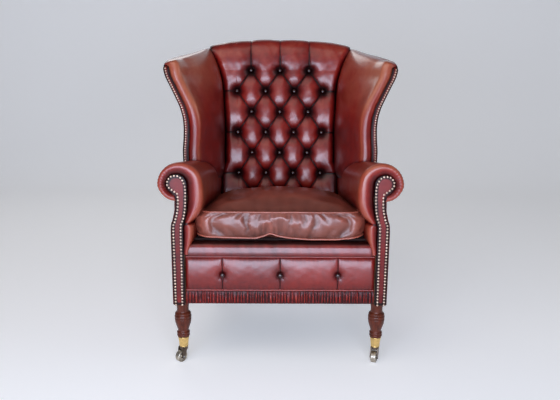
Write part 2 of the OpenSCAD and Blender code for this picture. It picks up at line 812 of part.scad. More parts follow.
top_drop = 26;
top_bend = 2.6;
function top_z(x) = chair_h - top_drop * pow(min(1, abs(x) / (seam_low_x + seam_spread)), top_bend);
steps_u = [for (i = [-16:16]) i / 4];
tail_shares = [0.35, 0.7];
rows_v = concat([for (i = [0:4 * last_row]) i / 4], [for (s = tail_shares) last_row + s]);
roll_rise = 1.3;
side_share = 0.7;
edge_share = 0.35;
rim_u = 4.6;
roll_row_shares = [[0, 0.02, 1], [0.03, 0.55, 1], [0.12, 0.82, 1], [0.3, 0.95, 1], [0.62, 1, 1]];

// Outer half width of the back stuffing at a height
function back_half(z) = seam_x(z) - seat_gap;
function back_point(u, v, z, thick) =
    let (w = back_half(z))
    let (x = min(w, max(-w, u * half_pitch(max(0, min(last_row, v))))))
    [x, post_front_y(z) - seat_gap - thick, z];
function edge_fall(x, w) = let (e = min(1, (w - abs(x)) / (2 * button_r))) sqrt(1 - (1 - e) * (1 - e));
function back_thick(u, v, z) =
    let (w = back_half(z))
    let (x = min(w, abs(u) * half_pitch(max(0, min(last_row, v)))))
    (back_pad_t - pit_depth * (1 - tuft(u, v))) * blend(side_share, 1, edge_fall(x, w));
// Rows from the top edge down to the seat: [height, v, share of the thickness]
function row_place(k, x) =
    k < len(roll_row_shares)
    ? let (r = roll_row_shares[k]) [blend(top_z(x), top_row_z, r[0]), -roll_rise * (1 - r[0]), r[1]]
    : let (v = rows_v[k - len(roll_row_shares)]) [row_z(v), v, 1];
back_rows = len(roll_row_shares) + len(rows_v);
function row_v(k) = k < len(roll_row_shares) ? -1 : rows_v[k - len(roll_row_shares)];
cols = concat([-rim_u], steps_u, [rim_u]);
function back_grid(k, c) =
    let (u = cols[c])
    let (x0 = u * half_pitch(0))
    let (place = row_place(k, x0))
    let (z = place[0])
    let (side = c == 0 || c == len(cols) - 1)
    let (w = back_half(z))
    side ? [(u < 0 ? -w : w), post_front_y(z) - seat_gap - back_pad_t * edge_share * place[2], z]
    : back_point(u, place[1], z, place[2] * back_thick(u, place[1], z));

module inside_back() {
    n = len(cols);
    front = [for (k = [0:back_rows - 1]) for (c = [0:n - 1]) back_grid(k, c)];
    // The rim of the flat rear face lies behind the rim of the front
    rim = concat(
        [for (c = [0:n - 1]) c],
        [for (k = [1:back_rows - 1]) k * n + n - 1],
        [for (c = [n - 2:-1:0]) (back_rows - 1) * n + c],
        [for (k = [back_rows - 2:-1:1]) k * n]
    );
    m = len(rim);
    rear = [for (i = rim) [front[i][0], post_front_y(front[i][2]) - seat_gap, front[i][2]]];
    base = len(front);
    middle = [0, post_front_y(row_z(3)) - seat_gap, row_z(3)];
    faces_front = join([
        for (k = [0:back_rows - 2]) for (c = [0:n - 2])
            let (a = k * n + c) let (b = a + 1) let (d = a + n) let (e = d + 1)
            let (u = (cols[c] + cols[c + 1]) / 2)
            falls(u, (row_v(k) + row_v(k + 1)) / 2) ? [[a, b, e], [a, e, d]] : [[a, b, d], [b, e, d]]
    ]);
    faces_rim = join([for (i = [0:m - 1]) let (j = (i + 1) % m)
        [[rim[j], rim[i], base + i], [rim[j], base + i, base + j]]]);
    faces_rear = [for (i = [0:m - 1]) let (j = (i + 1) % m) [base + j, base + i, base + m]];
    color(leather) seated() polyhedron(
        points = concat(front, rear, [middle]),
        faces = concat(faces_front, faces_rim, faces_rear)
    );
}

// True where the pleat nearest to a place runs down and to the right
function falls(u, v) = to_nearest((u - v) / 2) < to_nearest((u + v) / 2);

button_rise = 7.7;
module back_buttons() {
    color(dark_leather) seated() for (b = buttons)
        let (z = row_z(b[1]))
        translate([b[0] * half_pitch(b[1]), post_front_y(z) - (back_pad_t - pit_depth) - button_rise, z])
            rotate([-back_rake, 0, 0]) button(button_r);
}

// Outside back, cut from one panel that leans with the posts
module outside_back() {
    up = cos(back_rake);
    low = skirt_z;
    half = wing_back_x - cover_t;
    top_xs = [for (i = [8:-1:-8]) half * i / 8];
    outline = concat(
        [[-half, 0], [half, 0]],
        [for (x = top_xs) [x, (top_z(x) - over - low) / up]]
    );
    edge = [for (x = top_xs) [x, (top_z(x) - over - low) / up]];
    under = [for (i = [len(edge) - 1:-1:0]) edge[i] - [0, cover_t]];
    reach = (outside_y(low) - post_front_y(low)) * up;
    color(leather) seated() translate([0, outside_y(low), low]) rotate([90 - back_rake, 0, 0]) union() {
        linear_extrude(cover_t - seat_gap) polygon(outline);
        linear_extrude(reach) polygon(concat(edge, under));
    }
}

// Seat cushion: rings of one rounded outline, from the belly up to the crown
cushion_front_y = 28;
cushion_room = 22;
cushion_rear_y = back_in_y - cushion_room;
corner_r = 34;
corner_steps = [0, 22.5, 45, 67.5, 90];
cushion_mid_y = (cushion_front_y + cushion_rear_y) / 2;
side_shares = [0.2, 0.4, 0.6, 0.8];
// Half of the outline as [x share, depth] from the middle of the front to the back
function half_outline(z, give) =
    let (y0 = cushion_front_y + give)
    let (y1 = cushion_rear_y - give)
    let (r = corner_r)
    concat(
        [[0, y0], [side_at(y0 + r, z, give) / 3, y0], [side_at(y0 + r, z, give) * 2 / 3, y0]],
        [for (a = corner_steps) [side_at(y0 + r, z, give) - r + r * sin(a), y0 + r - r * cos(a)]],
        [for (s = side_shares) let (y = blend(y0 + r, y1 - r, s)) [side_at(y, z, give), y]],
        [for (a = corner_steps) [side_at(y1 - r, z, give) - r + r * cos(a), y1 - r + r * sin(a)]],
        [[side_at(y1 - r, z, give) * 2 / 3, y1], [side_at(y1 - r, z, give) / 3, y1], [0, y1]]
    );
welt_room = 2 * piping_r + 2 * over;
function side_at(y, z, give) = arm_inner_x(y, z) - welt_room - cushion_play - give;
function cushion_ring(z, give) =
    let (h = half_outline(z, give))
    concat(h, [for (i = [len(h) - 2:-1:1]) [-h[i][0], h[i][1]]]);
lower_welt_z = seat_z - cushion_border_h;
// It rests on the platform
cushion_belly = lower_welt_z - deck_z - run_gap;
// Each level: share of belly or crown, the fall of the edge and how far it draws in
belly_shares = [[1, 0.55], [0.97, 0.28], [0.7, 0.1], [0, 0]];
crown_shares = [[0, 0], [0.3, 0.05], [0.58, 0.14], [0.8, 0.27], [0.94, 0.45], [1, 0.7]];
border_fill = 5;
function shrink(ring, s) =
    [for (p = ring) [p[0] * (1 - s), cushion_mid_y + (p[1] - cushion_mid_y) * (1 - s)]];
// A ring at a height that falls towards the back
function fall_z(y, f) = f * cushion_fall * (y - cushion_front_y) / (cushion_rear_y - cushion_front_y);
function level_ring(z, ring, f) = [for (p = ring) [p[0], p[1], z - fall_z(p[1], f)]];
cushion_levels = concat(
    [for (l = belly_shares)
        level_ring(lower_welt_z - cushion_belly * l[0], shrink(cushion_ring(lower_welt_z, 0), l[1]), 0)],
    [level_ring((lower_welt_z + seat_z) / 2, cushion_ring((lower_welt_z + seat_z) / 2, -border_fill), 0.5)],
    [for (l = crown_shares)
        level_ring(seat_z + cushion_crown * l[0], shrink(cushion_ring(seat_z, 0), l[1]), 1)]
);

module seat_cushion() {
    n = len(cushion_levels[0]);
    k = len(cushion_levels);
    pts = concat(join(cushion_levels), [
        [0, cushion_mid_y, lower_welt_z - cushion_belly],
        [0, cushion_mid_y, seat_z + cushion_crown - fall_z(cushion_mid_y, 1)]
    ]);
    color(leather) seated() polyhedron(
        points = pts,
        faces = concat(
            join([for (r = [0:k - 2]) for (i = [0:n - 1]) let (j = (i + 1) % n)
                quad(r * n + i, (r + 1) * n + i, (r + 1) * n + j, r * n + j)]),
            [for (i = [0:n - 1]) [k * n, i, (i + 1) % n]],
            [for (i = [0:n - 1]) [k * n + 1, (k - 1) * n + (i + 1) % n, (k - 1) * n + i]]
        )
    );
}

// A closed tube round a ring of points that all lie at one height
tube_sides = 5;
module welt(z, f) {
    path = cushion_ring(z, -piping_r - 2 * seat_gap);
    n = len(path);
    pts = [for (i = [0:n - 1])
        let (t = path[(i + 1) % n] - path[(i + n - 1) % n])
        let (out = [t[1], -t[0]] / norm(t))
        for (k = [0:tube_sides - 1]) let (a = 360 * (k + 0.5) / tube_sides)
            concat(path[i] + piping_r * cos(a) * out, [z - fall_z(path[i][1], f) + piping_r * sin(a)])];
    polyhedron(points = pts, faces = join([
        for (i = [0:n - 1]) for (s = [0:tube_sides - 1])
            let (j = (i + 1) % n) let (w = (s + 1) % tube_sides)
            quad(i * tube_sides + s, i * tube_sides + w, j * tube_sides + w, j * tube_sides + s)
    ]));
}

module cushion_piping() {
    color(leather) seated() {
        welt(lower_welt_z, 0);
        welt(seat_z, 1);
    }
}

// Legs

cup_low_z = 56;
cup_low_r = 15.5;
cup_wall = 2.5;
cup_floor = 8;
spigot_z = cup_low_z + cup_floor;
rivet_room_r = 7;
rivet_room_h = 5;
spigot_gap = 0.1;
module leg_spigot() {
    difference() {
        translate([0, 0, spigot_z]) cylinder(
            h = cup_top_z - spigot_z,
            r1 = cup_low_r - cup_wall - spigot_gap, r2 = cup_r - cup_wall - spigot_gap
        );
        translate([0, 0, spigot_z - over]) cylinder(h = rivet_room_h + over, r = rivet_room_r);
    }
}

// Turned profile as [height share, radius share] of the turned length and the belly
turning_shares = [
    [0, 0.62], [0.03, 0.74], [0.06, 0.77], [0.085, 0.71], [0.115, 0.77], [0.147, 0.75],
    [0.17, 0.66], [0.2, 0.64], [0.23, 0.68], [0.285, 0.76], [0.34, 0.84], [0.39, 0.9],
    [0.44, 0.95], [0.5, 0.98], [0.53, 0.985], [0.545, 0.94], [0.56, 0.98], [0.59, 1],
    [0.625, 0.97], [0.64, 0.9], [0.655, 0.94], [0.675, 0.94], [0.7, 0.88], [0.72, 0.78],
    [0.74, 0.72], [0.83, 0.7], [0.91, 0.74], [1, 0.82]
];
module front_leg(side) {
    h = skirt_z - cup_top_z;
    color(mahogany) on_side(side) translate([leg_x, leg_y, 0]) {
        leg_spigot();
        translate([0, 0, cup_top_z]) rotate_extrude() polygon(concat(
            [[0, 0]],
            [for (p = turning_shares) [leg_r * p[1], h * p[0]]],
            [[0, h]]
        ));
    }
}

// Castors. Each is drawn at its own swivel axis with the axle behind it
pin_r = 4;
rivet_r = 6;
rivet_h = 2;
fork_gap = 0.8;
fork_t = 4;
axle_r = 3;
fork_eye_r = 7;
plate_r = 14.5;
wheel_room = 3.5;
plate_low_z = 2 * wheel_r + wheel_room;
plate_top_z = cup_low_z - seat_gap;

places = [
    [-leg_x, leg_y, front_left_turn], [leg_x, leg_y, front_right_turn],
    [-rear_foot_x, rear_foot_y, rear_left_turn], [rear_foot_x, rear_foot_y, rear_right_turn]
];
module at_castor(i) {
    seated() translate([places[i][0], places[i][1], 0]) rotate([0, 0, places[i][2]]) children();
}

cup_rim_r = 1.6;
cup_turn_share = 0.2;
module cup(i) {
    color(brass) at_castor(i) rotate_extrude() difference() {
        union() {
            polygon([
                [0, cup_low_z], [cup_low_r, cup_low_z],
                [blend(cup_low_r, cup_r, cup_turn_share), cup_low_z + cup_floor],
                [cup_r, cup_top_z], [0, cup_top_z]
            ]);
            translate([cup_r - cup_rim_r / 2, cup_top_z - cup_rim_r]) circle(r = cup_rim_r, $fn = 24);
            translate([cup_low_r - cup_rim_r / 2, cup_low_z + cup_rim_r]) circle(r = cup_rim_r, $fn = 24);
        }
        polygon([
            [-over, spigot_z], [cup_low_r - cup_wall, spigot_z], [cup_r - cup_wall, cup_top_z],
            [cup_r - cup_wall, cup_top_z + over], [-over, cup_top_z + over]
        ]);
        translate([-over, cup_low_z - over]) square([pin_r + run_gap + over, cup_floor + 2 * over]);
        translate([-2 * over, 0]) square([2 * over, cup_top_z + over]);
    }
}

module horn(i) {
    arm_in = wheel_w / 2 + fork_gap;
    color(bronze) at_castor(i) difference() {
        union() {
            translate([0, 0, plate_low_z]) cylinder(h = plate_top_z - plate_low_z, r = plate_r);
            translate([0, 0, plate_low_z])
                cylinder(h = spigot_z + seat_gap + rivet_h - plate_low_z, r = pin_r);
            translate([0, 0, spigot_z + seat_gap]) cylinder(h = rivet_h, r = rivet_r);
            for (side = [-1, 1]) translate([side > 0 ? arm_in : -arm_in - fork_t, 0, 0])
                rotate([90, 0, 90]) linear_extrude(fork_t) union() {
                    translate([trail, wheel_r]) circle(r = fork_eye_r);
                    polygon([
                        [-fork_eye_r, plate_top_z], [trail - fork_eye_r, wheel_r],
                        [trail + fork_eye_r, wheel_r], [trail, plate_top_z - fork_t],
                        [fork_eye_r, plate_top_z]
                    ]);
                }
        }
        translate([-wheel_w, trail, wheel_r]) rotate([0, 90, 0]) cylinder(h = 2 * wheel_w, r = axle_r);
    }
}

tread_r = 3;
hub_r = 7;
module wheel(i) {
    color(steel) at_castor(i) translate([0, trail, wheel_r]) rotate([0, 90, 0])
        rotate_extrude() difference() {
        union() {
            translate([0, -wheel_w / 2 + tread_r]) square([wheel_r, wheel_w - 2 * tread_r]);
            translate([0, -wheel_w / 2]) square([wheel_r - tread_r, wheel_w]);
            for (s = [-1, 1]) translate([wheel_r - tread_r, s * (wheel_w / 2 - tread_r)])
                circle(r = tread_r, $fn = 24);
        }
        translate([-2 * wheel_r, -wheel_w]) square([2 * wheel_r + axle_r + run_gap, 2 * wheel_w]);
        for (s = [-1, 1]) translate([hub_r, s > 0 ? wheel_w / 2 - over : -wheel_w / 2 - over])
            square([wheel_r - tread_r - over - hub_r, 2 * over]);
    }
}

module axle(i) {
    half = wheel_w / 2 + fork_gap + fork_t;
    color(steel) at_castor(i) translate([-half, trail, wheel_r]) rotate([0, 90, 0])
        cylinder(h = 2 * half, r = axle_r);
}

front_rail();
rear_rail();
side_rail(-1);  // left_side_rail
side_rail(1);  // right_side_rail
corner_blocks();
front_leg(-1);  // front_left_leg
front_leg(1);  // front_right_leg
back_post(-1);  // left_back_post
back_post(1);  // right_back_post
crest_rail();
arm_stump(-1);  // left_arm_stump
arm_stump(1);  // right_arm_stump
arm_rail(-1);  // left_arm_rail
arm_rail(1);  // right_arm_rail
wing_frame(-1);  // left_wing_frame
wing_frame(1);  // right_wing_frame
seat_springs();
seat_platform();
dust_cover();
inside_back();
back_buttons();
outside_back();
wing_pad(-1);  // left_wing_pad
wing_pad(1);  // right_wing_pad
wing_outside(-1);  // left_wing_outside
wing_outside(1);  // right_wing_outside
wing_facing(-1);  // left_wing_facing
wing_facing(1);  // right_wing_facing
arm_pad(-1);  // left_arm_pad
arm_pad(1);  // right_arm_pad
arm_outside(-1);  // left_arm_outside
arm_outside(1);  // right_arm_outside
arm_facing(-1);  // left_arm_facing
arm_facing(1);  // right_arm_facing
front_roll();
front_border();
border_buttons();
border_piping();
ruched_band();
seat_cushion();
cushion_piping();
cup(0);  // front_left_cup
horn(0);  // front_left_horn
wheel(0);  // front_left_wheel
axle(0);  // front_left_axle
cup(1);  // front_right_cup
horn(1);  // front_right_horn
wheel(1);  // front_right_wheel
axle(1);  // front_right_axle
cup(2);  // rear_left_cup
horn(2);  // rear_left_horn
wheel(2);  // rear_left_wheel
axle(2);  // rear_left_axle
cup(3);  // rear_right_cup
horn(3);  // rear_right_horn
wheel(3);  // rear_right_wheel
axle(3);  // rear_right_axle
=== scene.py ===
import math

import bpy
import numpy as np
from mathutils import Matrix, Vector


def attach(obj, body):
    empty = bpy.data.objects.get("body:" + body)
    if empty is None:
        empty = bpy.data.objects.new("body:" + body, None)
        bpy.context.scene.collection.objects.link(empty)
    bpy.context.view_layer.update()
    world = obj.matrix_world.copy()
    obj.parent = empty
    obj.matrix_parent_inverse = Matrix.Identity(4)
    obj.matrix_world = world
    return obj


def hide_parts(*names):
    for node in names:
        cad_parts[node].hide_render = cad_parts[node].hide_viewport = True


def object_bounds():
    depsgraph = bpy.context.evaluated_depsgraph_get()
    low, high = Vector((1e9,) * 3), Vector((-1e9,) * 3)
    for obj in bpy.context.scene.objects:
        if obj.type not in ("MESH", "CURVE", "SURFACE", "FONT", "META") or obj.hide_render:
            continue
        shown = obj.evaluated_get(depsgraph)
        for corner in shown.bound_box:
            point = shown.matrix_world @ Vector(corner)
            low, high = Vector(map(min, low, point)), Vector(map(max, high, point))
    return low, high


bl_info = {
    "name": "Buttoned Wing Chair",
    "version": (1, 0, 0),
    "blender": (4, 5, 0),
    "location": "3D View > Sidebar > Wing Chair",
    "description": "Upholstery, nails, turned legs and castors for a buttoned wing chair on a fixed frame",
    "category": "Add Mesh",
}

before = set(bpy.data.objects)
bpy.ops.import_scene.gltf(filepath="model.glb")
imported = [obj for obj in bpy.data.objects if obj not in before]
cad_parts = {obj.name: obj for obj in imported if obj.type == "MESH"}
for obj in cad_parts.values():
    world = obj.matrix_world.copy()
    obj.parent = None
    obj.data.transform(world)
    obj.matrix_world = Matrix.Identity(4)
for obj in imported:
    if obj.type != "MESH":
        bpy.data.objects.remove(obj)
CAD_BOX = [[float(c) for c in corner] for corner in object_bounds()]

# Sizes in millimetres. Depths run backwards from the arm fronts, and laid() takes a
# grid of points into the frame's metres.
CHAIR_H = round(CAD_BOX[1][2] * 1000, 1)
CHAIR_D = 780.0
SEAT_Z = 547.0
RAKE = math.tan(math.radians(8.5))
FACE_Y, OUTSIDE_Z = 530.0, 1130.0
PAD_T = 70.0
SKIRT_Z = 222.0


# Settings


def length(name, default, text):
    """A size in metres, shown in the scene's unit."""
    least = 0.0005
    return bpy.props.FloatProperty(
        name=name, description=text, default=default, min=least, precision=4, unit="LENGTH",
        subtype="DISTANCE",
    )


def colour(name, default, text):
    """A colour of three linear shares."""
    return bpy.props.FloatVectorProperty(
        name=name, description=text, default=default, size=3, min=0.0, max=1.0, subtype="COLOR"
    )


class ChairSizes(bpy.types.PropertyGroup):
    """Sizes of the upholstery that the frame leaves open"""

    pleat_depth: length("Pleat depth", 0.015, "Depth of the pleats between the back's buttons")
    pit_depth: length("Pit depth", 0.030, "Depth to which the back's buttons are drawn in")
    button_radius: length("Button radius", 0.0082, "Radius of the covered buttons")
    nail_radius: length("Nail radius", 0.0039, "Radius of the nails' heads along the arms")
    nail_pitch: length("Nail pitch", 0.0109, "Distance between the nails along the arms")
    ruche_pitch: length("Ruche pitch", 0.0104, "Mean distance between the folds of the ruched band")
    welt_radius: length("Welt radius", 0.0031, "Radius of the cushion's welts")
    cushion_crown: length("Cushion crown", 0.043, "Rise of the cushion's top above its upper welt")
    wrinkle_reach: length("Wrinkle reach", 0.012, "Farthest that the cushion's leather moves as it wrinkles")


class ChairColours(bpy.types.PropertyGroup):
    """Colours of the leather, metal, timber and backdrop"""

    # The leather tones are wear and painted light together: the shadow tone is painted shade in pleats and
    # seams, crimson also serves for leather in painted half shade, and the worn tone is wear with a painted
    # sheen on crowns and upper surfaces.
    shadow: colour("Leather shadow", (0.022, 0.0012, 0.0015), "Leather deep in the pleats and seams")
    crimson: colour("Leather crimson", (0.105, 0.0030, 0.0030), "Leather that is seldom touched")
    body: colour("Leather body", (0.230, 0.0100, 0.0050), "Most of the leather")
    worn: colour("Leather worn", (0.380, 0.0950, 0.0450), "Leather rubbed on its crowns and edges")
    cushion: colour("Cushion", (0.2, 0.05, 0.032), "Leather of the loose cushion")
    nails: colour("Nails", (0.68, 0.50, 0.38), "Antique brass of the nails")
    brass: colour("Brass", (0.85, 0.58, 0.22), "Polished brass of the castors' cups")
    timber: colour("Timber", (0.125, 0.024, 0.011), "Polished timber of the legs")
    paper: colour("Backdrop", (0.86, 0.86, 0.87), "Floor and backdrop")


def size(name):
    """A size from the settings in millimetres."""
    return getattr(bpy.context.scene.wing_chair_sizes, name) * 1000.0


def tone(name, share=1.0):
    """A colour from the settings, dimmed to a share of itself."""
    return tuple(c * share for c in getattr(bpy.context.scene.wing_chair_colours, name))


# Forms

SIDES = ((-1, "left"), (1, "right"))
LEATHER_T = 3.0


def laid(points):
    """Points in millimetres, with depth from the arm fronts, as metres in the frame."""
    return (np.asarray(points, float) - [0.0, CHAIR_D / 2, 0.0]) / 1000.0


def back_face(z):
    """Depth of the padded back's front plane: FACE_Y at the seat, and leaning back."""
    return FACE_Y + (z - SEAT_Z) * RAKE


def post_front(z):
    """Depth of the plane that the back's stuffing lies on."""
    return back_face(z) + PAD_T


def outside(z):
    """Depth of the chair's outside back, which is the full depth at OUTSIDE_Z."""
    return CHAIR_D + (z - OUTSIDE_Z) * RAKE


def mix(a, b, s):
    """A share s of the way from a to b."""
    return a + (b - a) * s


def eased(x, table):
    """Smooth curve through a table of [x, y]: cubic pieces whose slopes never overshoot."""
    xs, ys = np.array(table, float).T
    x = np.clip(np.asarray(x, float), xs[0], xs[-1])
    h = np.diff(xs)
    d = np.diff(ys) / h
    m = np.zeros_like(xs)
    inner = d[:-1] * d[1:] > 0
    w1, w2 = 2 * h[1:] + h[:-1], h[1:] + 2 * h[:-1]
    with np.errstate(divide="ignore", invalid="ignore"):
        m[1:-1] = np.where(inner, (w1 + w2) / (w1 / d[:-1] + w2 / d[1:]), 0)
    m[0], m[-1] = d[0], d[-1]
    k = np.clip(np.searchsorted(xs, x, side="right") - 1, 0, len(xs) - 2)
    t = (x - xs[k]) / h[k]
    return (
        ys[k] * (1 + 2 * t) * (1 - t) ** 2
        + m[k] * h[k] * t * (1 - t) ** 2
        + ys[k + 1] * t * t * (3 - 2 * t)
        + m[k + 1] * h[k] * t * t * (t - 1)
    )


def through(points, count):
    """Spline through control points on the second last axis, resampled to count points.

    Each piece is the cubic whose end slopes are half the chord of its neighbours."""
    p = np.asarray(points, float)
    n = p.shape[-2]
    t = np.linspace(0, n - 1, count) if np.isscalar(count) else np.asarray(count, float)
    k = np.clip(t.astype(int), 0, n - 2)
    f = (t - k)[:, None]
    a = p[..., np.maximum(k - 1, 0), :]
    b = p[..., k, :]
    c = p[..., k + 1, :]
    d = p[..., np.minimum(k + 2, n - 1), :]
    return 0.5 * (
        2 * b + (c - a) * f + (2 * a - 5 * b + 4 * c - d) * f**2 + (3 * b - a - 3 * c + d) * f**3
    )


def even(points, count):
    """The same path with its points a like distance apart."""
    p = np.asarray(points, float)
    run = np.concatenate([[0], np.cumsum(np.linalg.norm(np.diff(p, axis=0), axis=1))])
    s = np.linspace(0, run[-1], count)
    return np.stack([np.interp(s, run, p[:, i]) for i in range(p.shape[1])], 1)


def ripple(x, y, scale, seed, octaves=3):
    """Smooth seeded unevenness between -1 and 1: a sum of slanted sine waves, three to an
    octave, each octave half as long and half as strong as the one before it."""
    waves, cross = 3, 0.7
    rng = np.random.default_rng(seed)
    total, most = np.zeros(np.broadcast(x, y).shape), 0.0
    for octave in range(octaves):
        k = 2 * np.pi * 2**octave / scale
        for _ in range(waves):
            a, p, q = rng.uniform(0, 2 * np.pi, 3)
            along = np.sin(k * (x * np.cos(a) + y * np.sin(a)) + p)
            across = np.cos(cross * k * (y * np.cos(a) - x * np.sin(a)) + q)
            total = total + along * across / 2**octave
            most += cross / 2**octave
    return total / most


def hump(t):
    """Half a sine wave over a share from 0 to 1, and 0 beyond both ends."""
    return np.sin(np.pi * np.clip(t, 0, 1))


def bell(x, middle, width):
    """1 in the middle, falling to both sides as the exponential of minus a square."""
    return np.exp(-(((x - middle) / width) ** 2))


def quarter(s):
    """Rises from 0 to 1 along a quarter circle."""
    return np.sqrt(1 - (1 - s) ** 2)


def gathers(x, pitch, sway, run, shift=0.0):
    """A row of gathers as a sine wave whose spacing sways."""
    return np.sin(2 * np.pi * x / pitch + sway * np.sin(x / run) + shift)


def grid_faces(rows, cols, round_rows=False, round_cols=False):
    """Quads between neighbouring points of a grid, closed along an axis where asked."""
    r = np.arange(rows if round_rows else rows - 1)[:, None]
    c = np.arange(cols if round_cols else cols - 1)[None, :]
    r2, c2 = (r + 1) % rows, (c + 1) % cols
    return np.stack([r * cols + c, r * cols + c2, r2 * cols + c2, r2 * cols + c], -1).reshape(-1, 4)


def note_wear_and_shading(mesh, rub):
    """Notes on a mesh, point by point, its wear and its painted light and shade."""
    layer = mesh.attributes.new("rub", "FLOAT", "POINT")
    layer.data.foreach_set("value", np.ravel(rub).astype(np.float32))


def build(name, verts, quads, tris=None, rub=None):
    """A mesh object from arrays: quads, extra triangles and each point's wear and painted light and shade."""
    mesh = bpy.data.meshes.new(name)
    loops, sides = np.ravel(quads), np.full(len(quads), 4)
    if tris is not None:
        loops = np.append(loops, tris)
        sides = np.append(sides, np.full(len(tris), 3))
    starts = np.cumsum(sides) - sides
    mesh.vertices.add(len(verts))
    mesh.vertices.foreach_set("co", np.asarray(verts, np.float32).ravel())
    mesh.loops.add(len(loops))
    mesh.loops.foreach_set("vertex_index", loops.astype(np.int32))
    mesh.polygons.add(len(sides))
    mesh.polygons.foreach_set("loop_start", starts.astype(np.int32))
    mesh.polygons.foreach_set("loop_total", sides.astype(np.int32))
    mesh.polygons.foreach_set("use_smooth", np.ones(len(sides), bool))
    mesh.update(calc_edges=True)
    mesh.validate()
    if rub is not None:
        note_wear_and_shading(mesh, rub)
    obj = bpy.data.objects.new(name, mesh)
    bpy.context.scene.collection.objects.link(obj)
    return obj


def mirrored(points, side):
    """The right-hand grid as it is, or its mirror image with its rows reversed."""
    p = np.array(points, float)
    if side < 0:
        p[..., 0] *= -1
        p = p[::-1]
    return p


def normals(p):
    """Unit normals of a grid: the cross product of its two directions."""
    n = np.cross(np.gradient(p, axis=1), np.gradient(p, axis=0))
    return n / np.maximum(np.linalg.norm(n, axis=-1, keepdims=True), 1e-9)


def rim_of(rows, cols):
    """Numbers of the points round the edge of a grid."""
    idx = np.arange(rows * cols).reshape(rows, cols)
    return np.concatenate([idx[0, :-1], idx[:-1, -1], idx[-1, :0:-1], idx[:0:-1, 0]])


def skin(name, p, thick, rub):
    """A closed sheet of leather: the grid, a copy sunk by its thickness, and a strip round
    the edge."""
    rows, cols = p.shape[:2]
    n = rows * cols
    quads, rim = grid_faces(rows, cols), rim_of(rows, cols)
    after = np.roll(rim, -1)
    strip = np.stack([after, rim, rim + n, after + n], 1)
    verts = laid(np.concatenate([p.reshape(-1, 3), (p - normals(p) * thick).reshape(-1, 3)]))
    rub = np.ravel(rub)
    return build(name, verts, np.concatenate([quads, quads[:, ::-1] + n, strip]), rub=np.append(rub, rub))


def sided(name, p, rub, side, thick=LEATHER_T):
    """A sheet of leather for one side, from the right-hand grid and its wear and painted light and shade."""
    return outward(skin(name, mirrored(p, side), thick, rub if side > 0 else rub[::-1]))


def outward(obj):
    """Turns every face of a closed piece outwards."""
    bpy.context.view_layer.objects.active = obj
    for o in bpy.context.selected_objects:
        o.select_set(False)
    obj.select_set(True)
    bpy.ops.object.mode_set(mode="EDIT")
    bpy.ops.mesh.select_all(action="SELECT")
    bpy.ops.mesh.normals_make_consistent(inside=False)
    bpy.ops.object.mode_set(mode="OBJECT")
    obj.select_set(False)
    return obj


def closed_behind(name, p, rub, centre):
    """A grid closed by a fan from its edge to a point inside."""
    rows, cols = p.shape[:2]
    rim = rim_of(rows, cols)
    tris = np.stack([np.roll(rim, -1), rim, np.full(len(rim), rows * cols)], 1)
    verts = laid(np.concatenate([p.reshape(-1, 3), [centre]]))
    return build(name, verts, grid_faces(rows, cols), tris, np.append(rub, 0.0))


def joined(forms):
    """Forms of points and faces as one form."""
    starts = np.cumsum([0] + [len(form[0]) for form in forms[:-1]])
    faces = [
        np.concatenate([form[i] + start for form, start in zip(forms, starts)])
        for i in range(1, len(forms[0]))
    ]
    return np.concatenate([form[0] for form in forms]), *faces


def turned_form(profile, count=24):
    """A closed body of revolution: [radius, height] from its foot to its top."""
    r, h = np.array(profile, float).T
    a = np.linspace(0, 2 * np.pi, count, endpoint=False)
    rings = np.stack([r[:, None] * np.cos(a), r[:, None] * np.sin(a), h[:, None] + 0 * a], -1)
    m = len(r)
    verts = np.concatenate([rings.reshape(-1, 3), [[0, 0, h[0]], [0, 0, h[-1]]]])
    quads = grid_faces(m, count, round_cols=True)
    i = np.arange(count)
    j = (i + 1) % count
    foot = np.stack([j, i, np.full(count, m * count)], 1)
    top = np.stack([(m - 1) * count + i, (m - 1) * count + j, np.full(count, m * count + 1)], 1)
    return verts, quads, np.concatenate([foot, top])


def copies(form, places, up):
    """The form at each place, with its axis turned to one direction."""
    verts, quads, tris = form
    askew = [0.31, 0.17, 0.93]
    up = np.array(up, float) / np.linalg.norm(up)
    side = np.cross(up, askew)
    side /= np.linalg.norm(side)
    other = np.cross(up, side)
    places = np.asarray(places, float)[:, None]
    out = places + verts[:, :1] * side + verts[:, 1:2] * other + verts[:, 2:] * up
    step = (np.arange(len(places)) * len(verts))[:, None, None]
    return out.reshape(-1, 3), (quads + step).reshape(-1, 4), (tris + step).reshape(-1, 3)


def ring_at(t, leaning, count):
    """Unit circle square to each direction of a path."""
    side = np.cross(t, leaning)
    side /= np.linalg.norm(side, axis=1, keepdims=True)
    other = np.cross(side, t)
    a = np.linspace(0, 2 * np.pi, count, endpoint=False)[None, :, None]
    return np.cos(a) * side[:, None] + np.sin(a) * other[:, None]


def tube(points, radius, count=10):
    """A round cord along a path with closed ends: rings square to the path."""
    p = np.asarray(points, float)
    t = np.gradient(p, axis=0)
    t /= np.linalg.norm(t, axis=1, keepdims=True)
    r = np.broadcast_to(np.asarray(radius, float), (len(p),))[:, None, None]
    rings = p[:, None] + r * ring_at(t, [0.1, 0.97, 0.2], count)
    n = len(p)
    verts = np.concatenate([rings.reshape(-1, 3), p[:1], p[-1:]])
    i = np.arange(count)
    j = (i + 1) % count
    ends = np.concatenate([
        np.stack([j, i, np.full(count, n * count)], 1),
        np.stack([(n - 1) * count + i, (n - 1) * count + j, np.full(count, n * count + 1)], 1),
    ])
    return verts, grid_faces(n, count, round_cols=True), ends


def ring_tube(path, radius, count=10):
    """A cord round a closed path: rings square to it, the last joined to the first."""
    t = np.roll(path, -1, 0) - np.roll(path, 1, 0)
    t /= np.linalg.norm(t, axis=1, keepdims=True)
    rings = path[:, None] + radius * ring_at(t, [0.0, 0.0, 1.0], count)
    return rings.reshape(-1, 3), grid_faces(len(path), count, round_rows=True, round_cols=True)


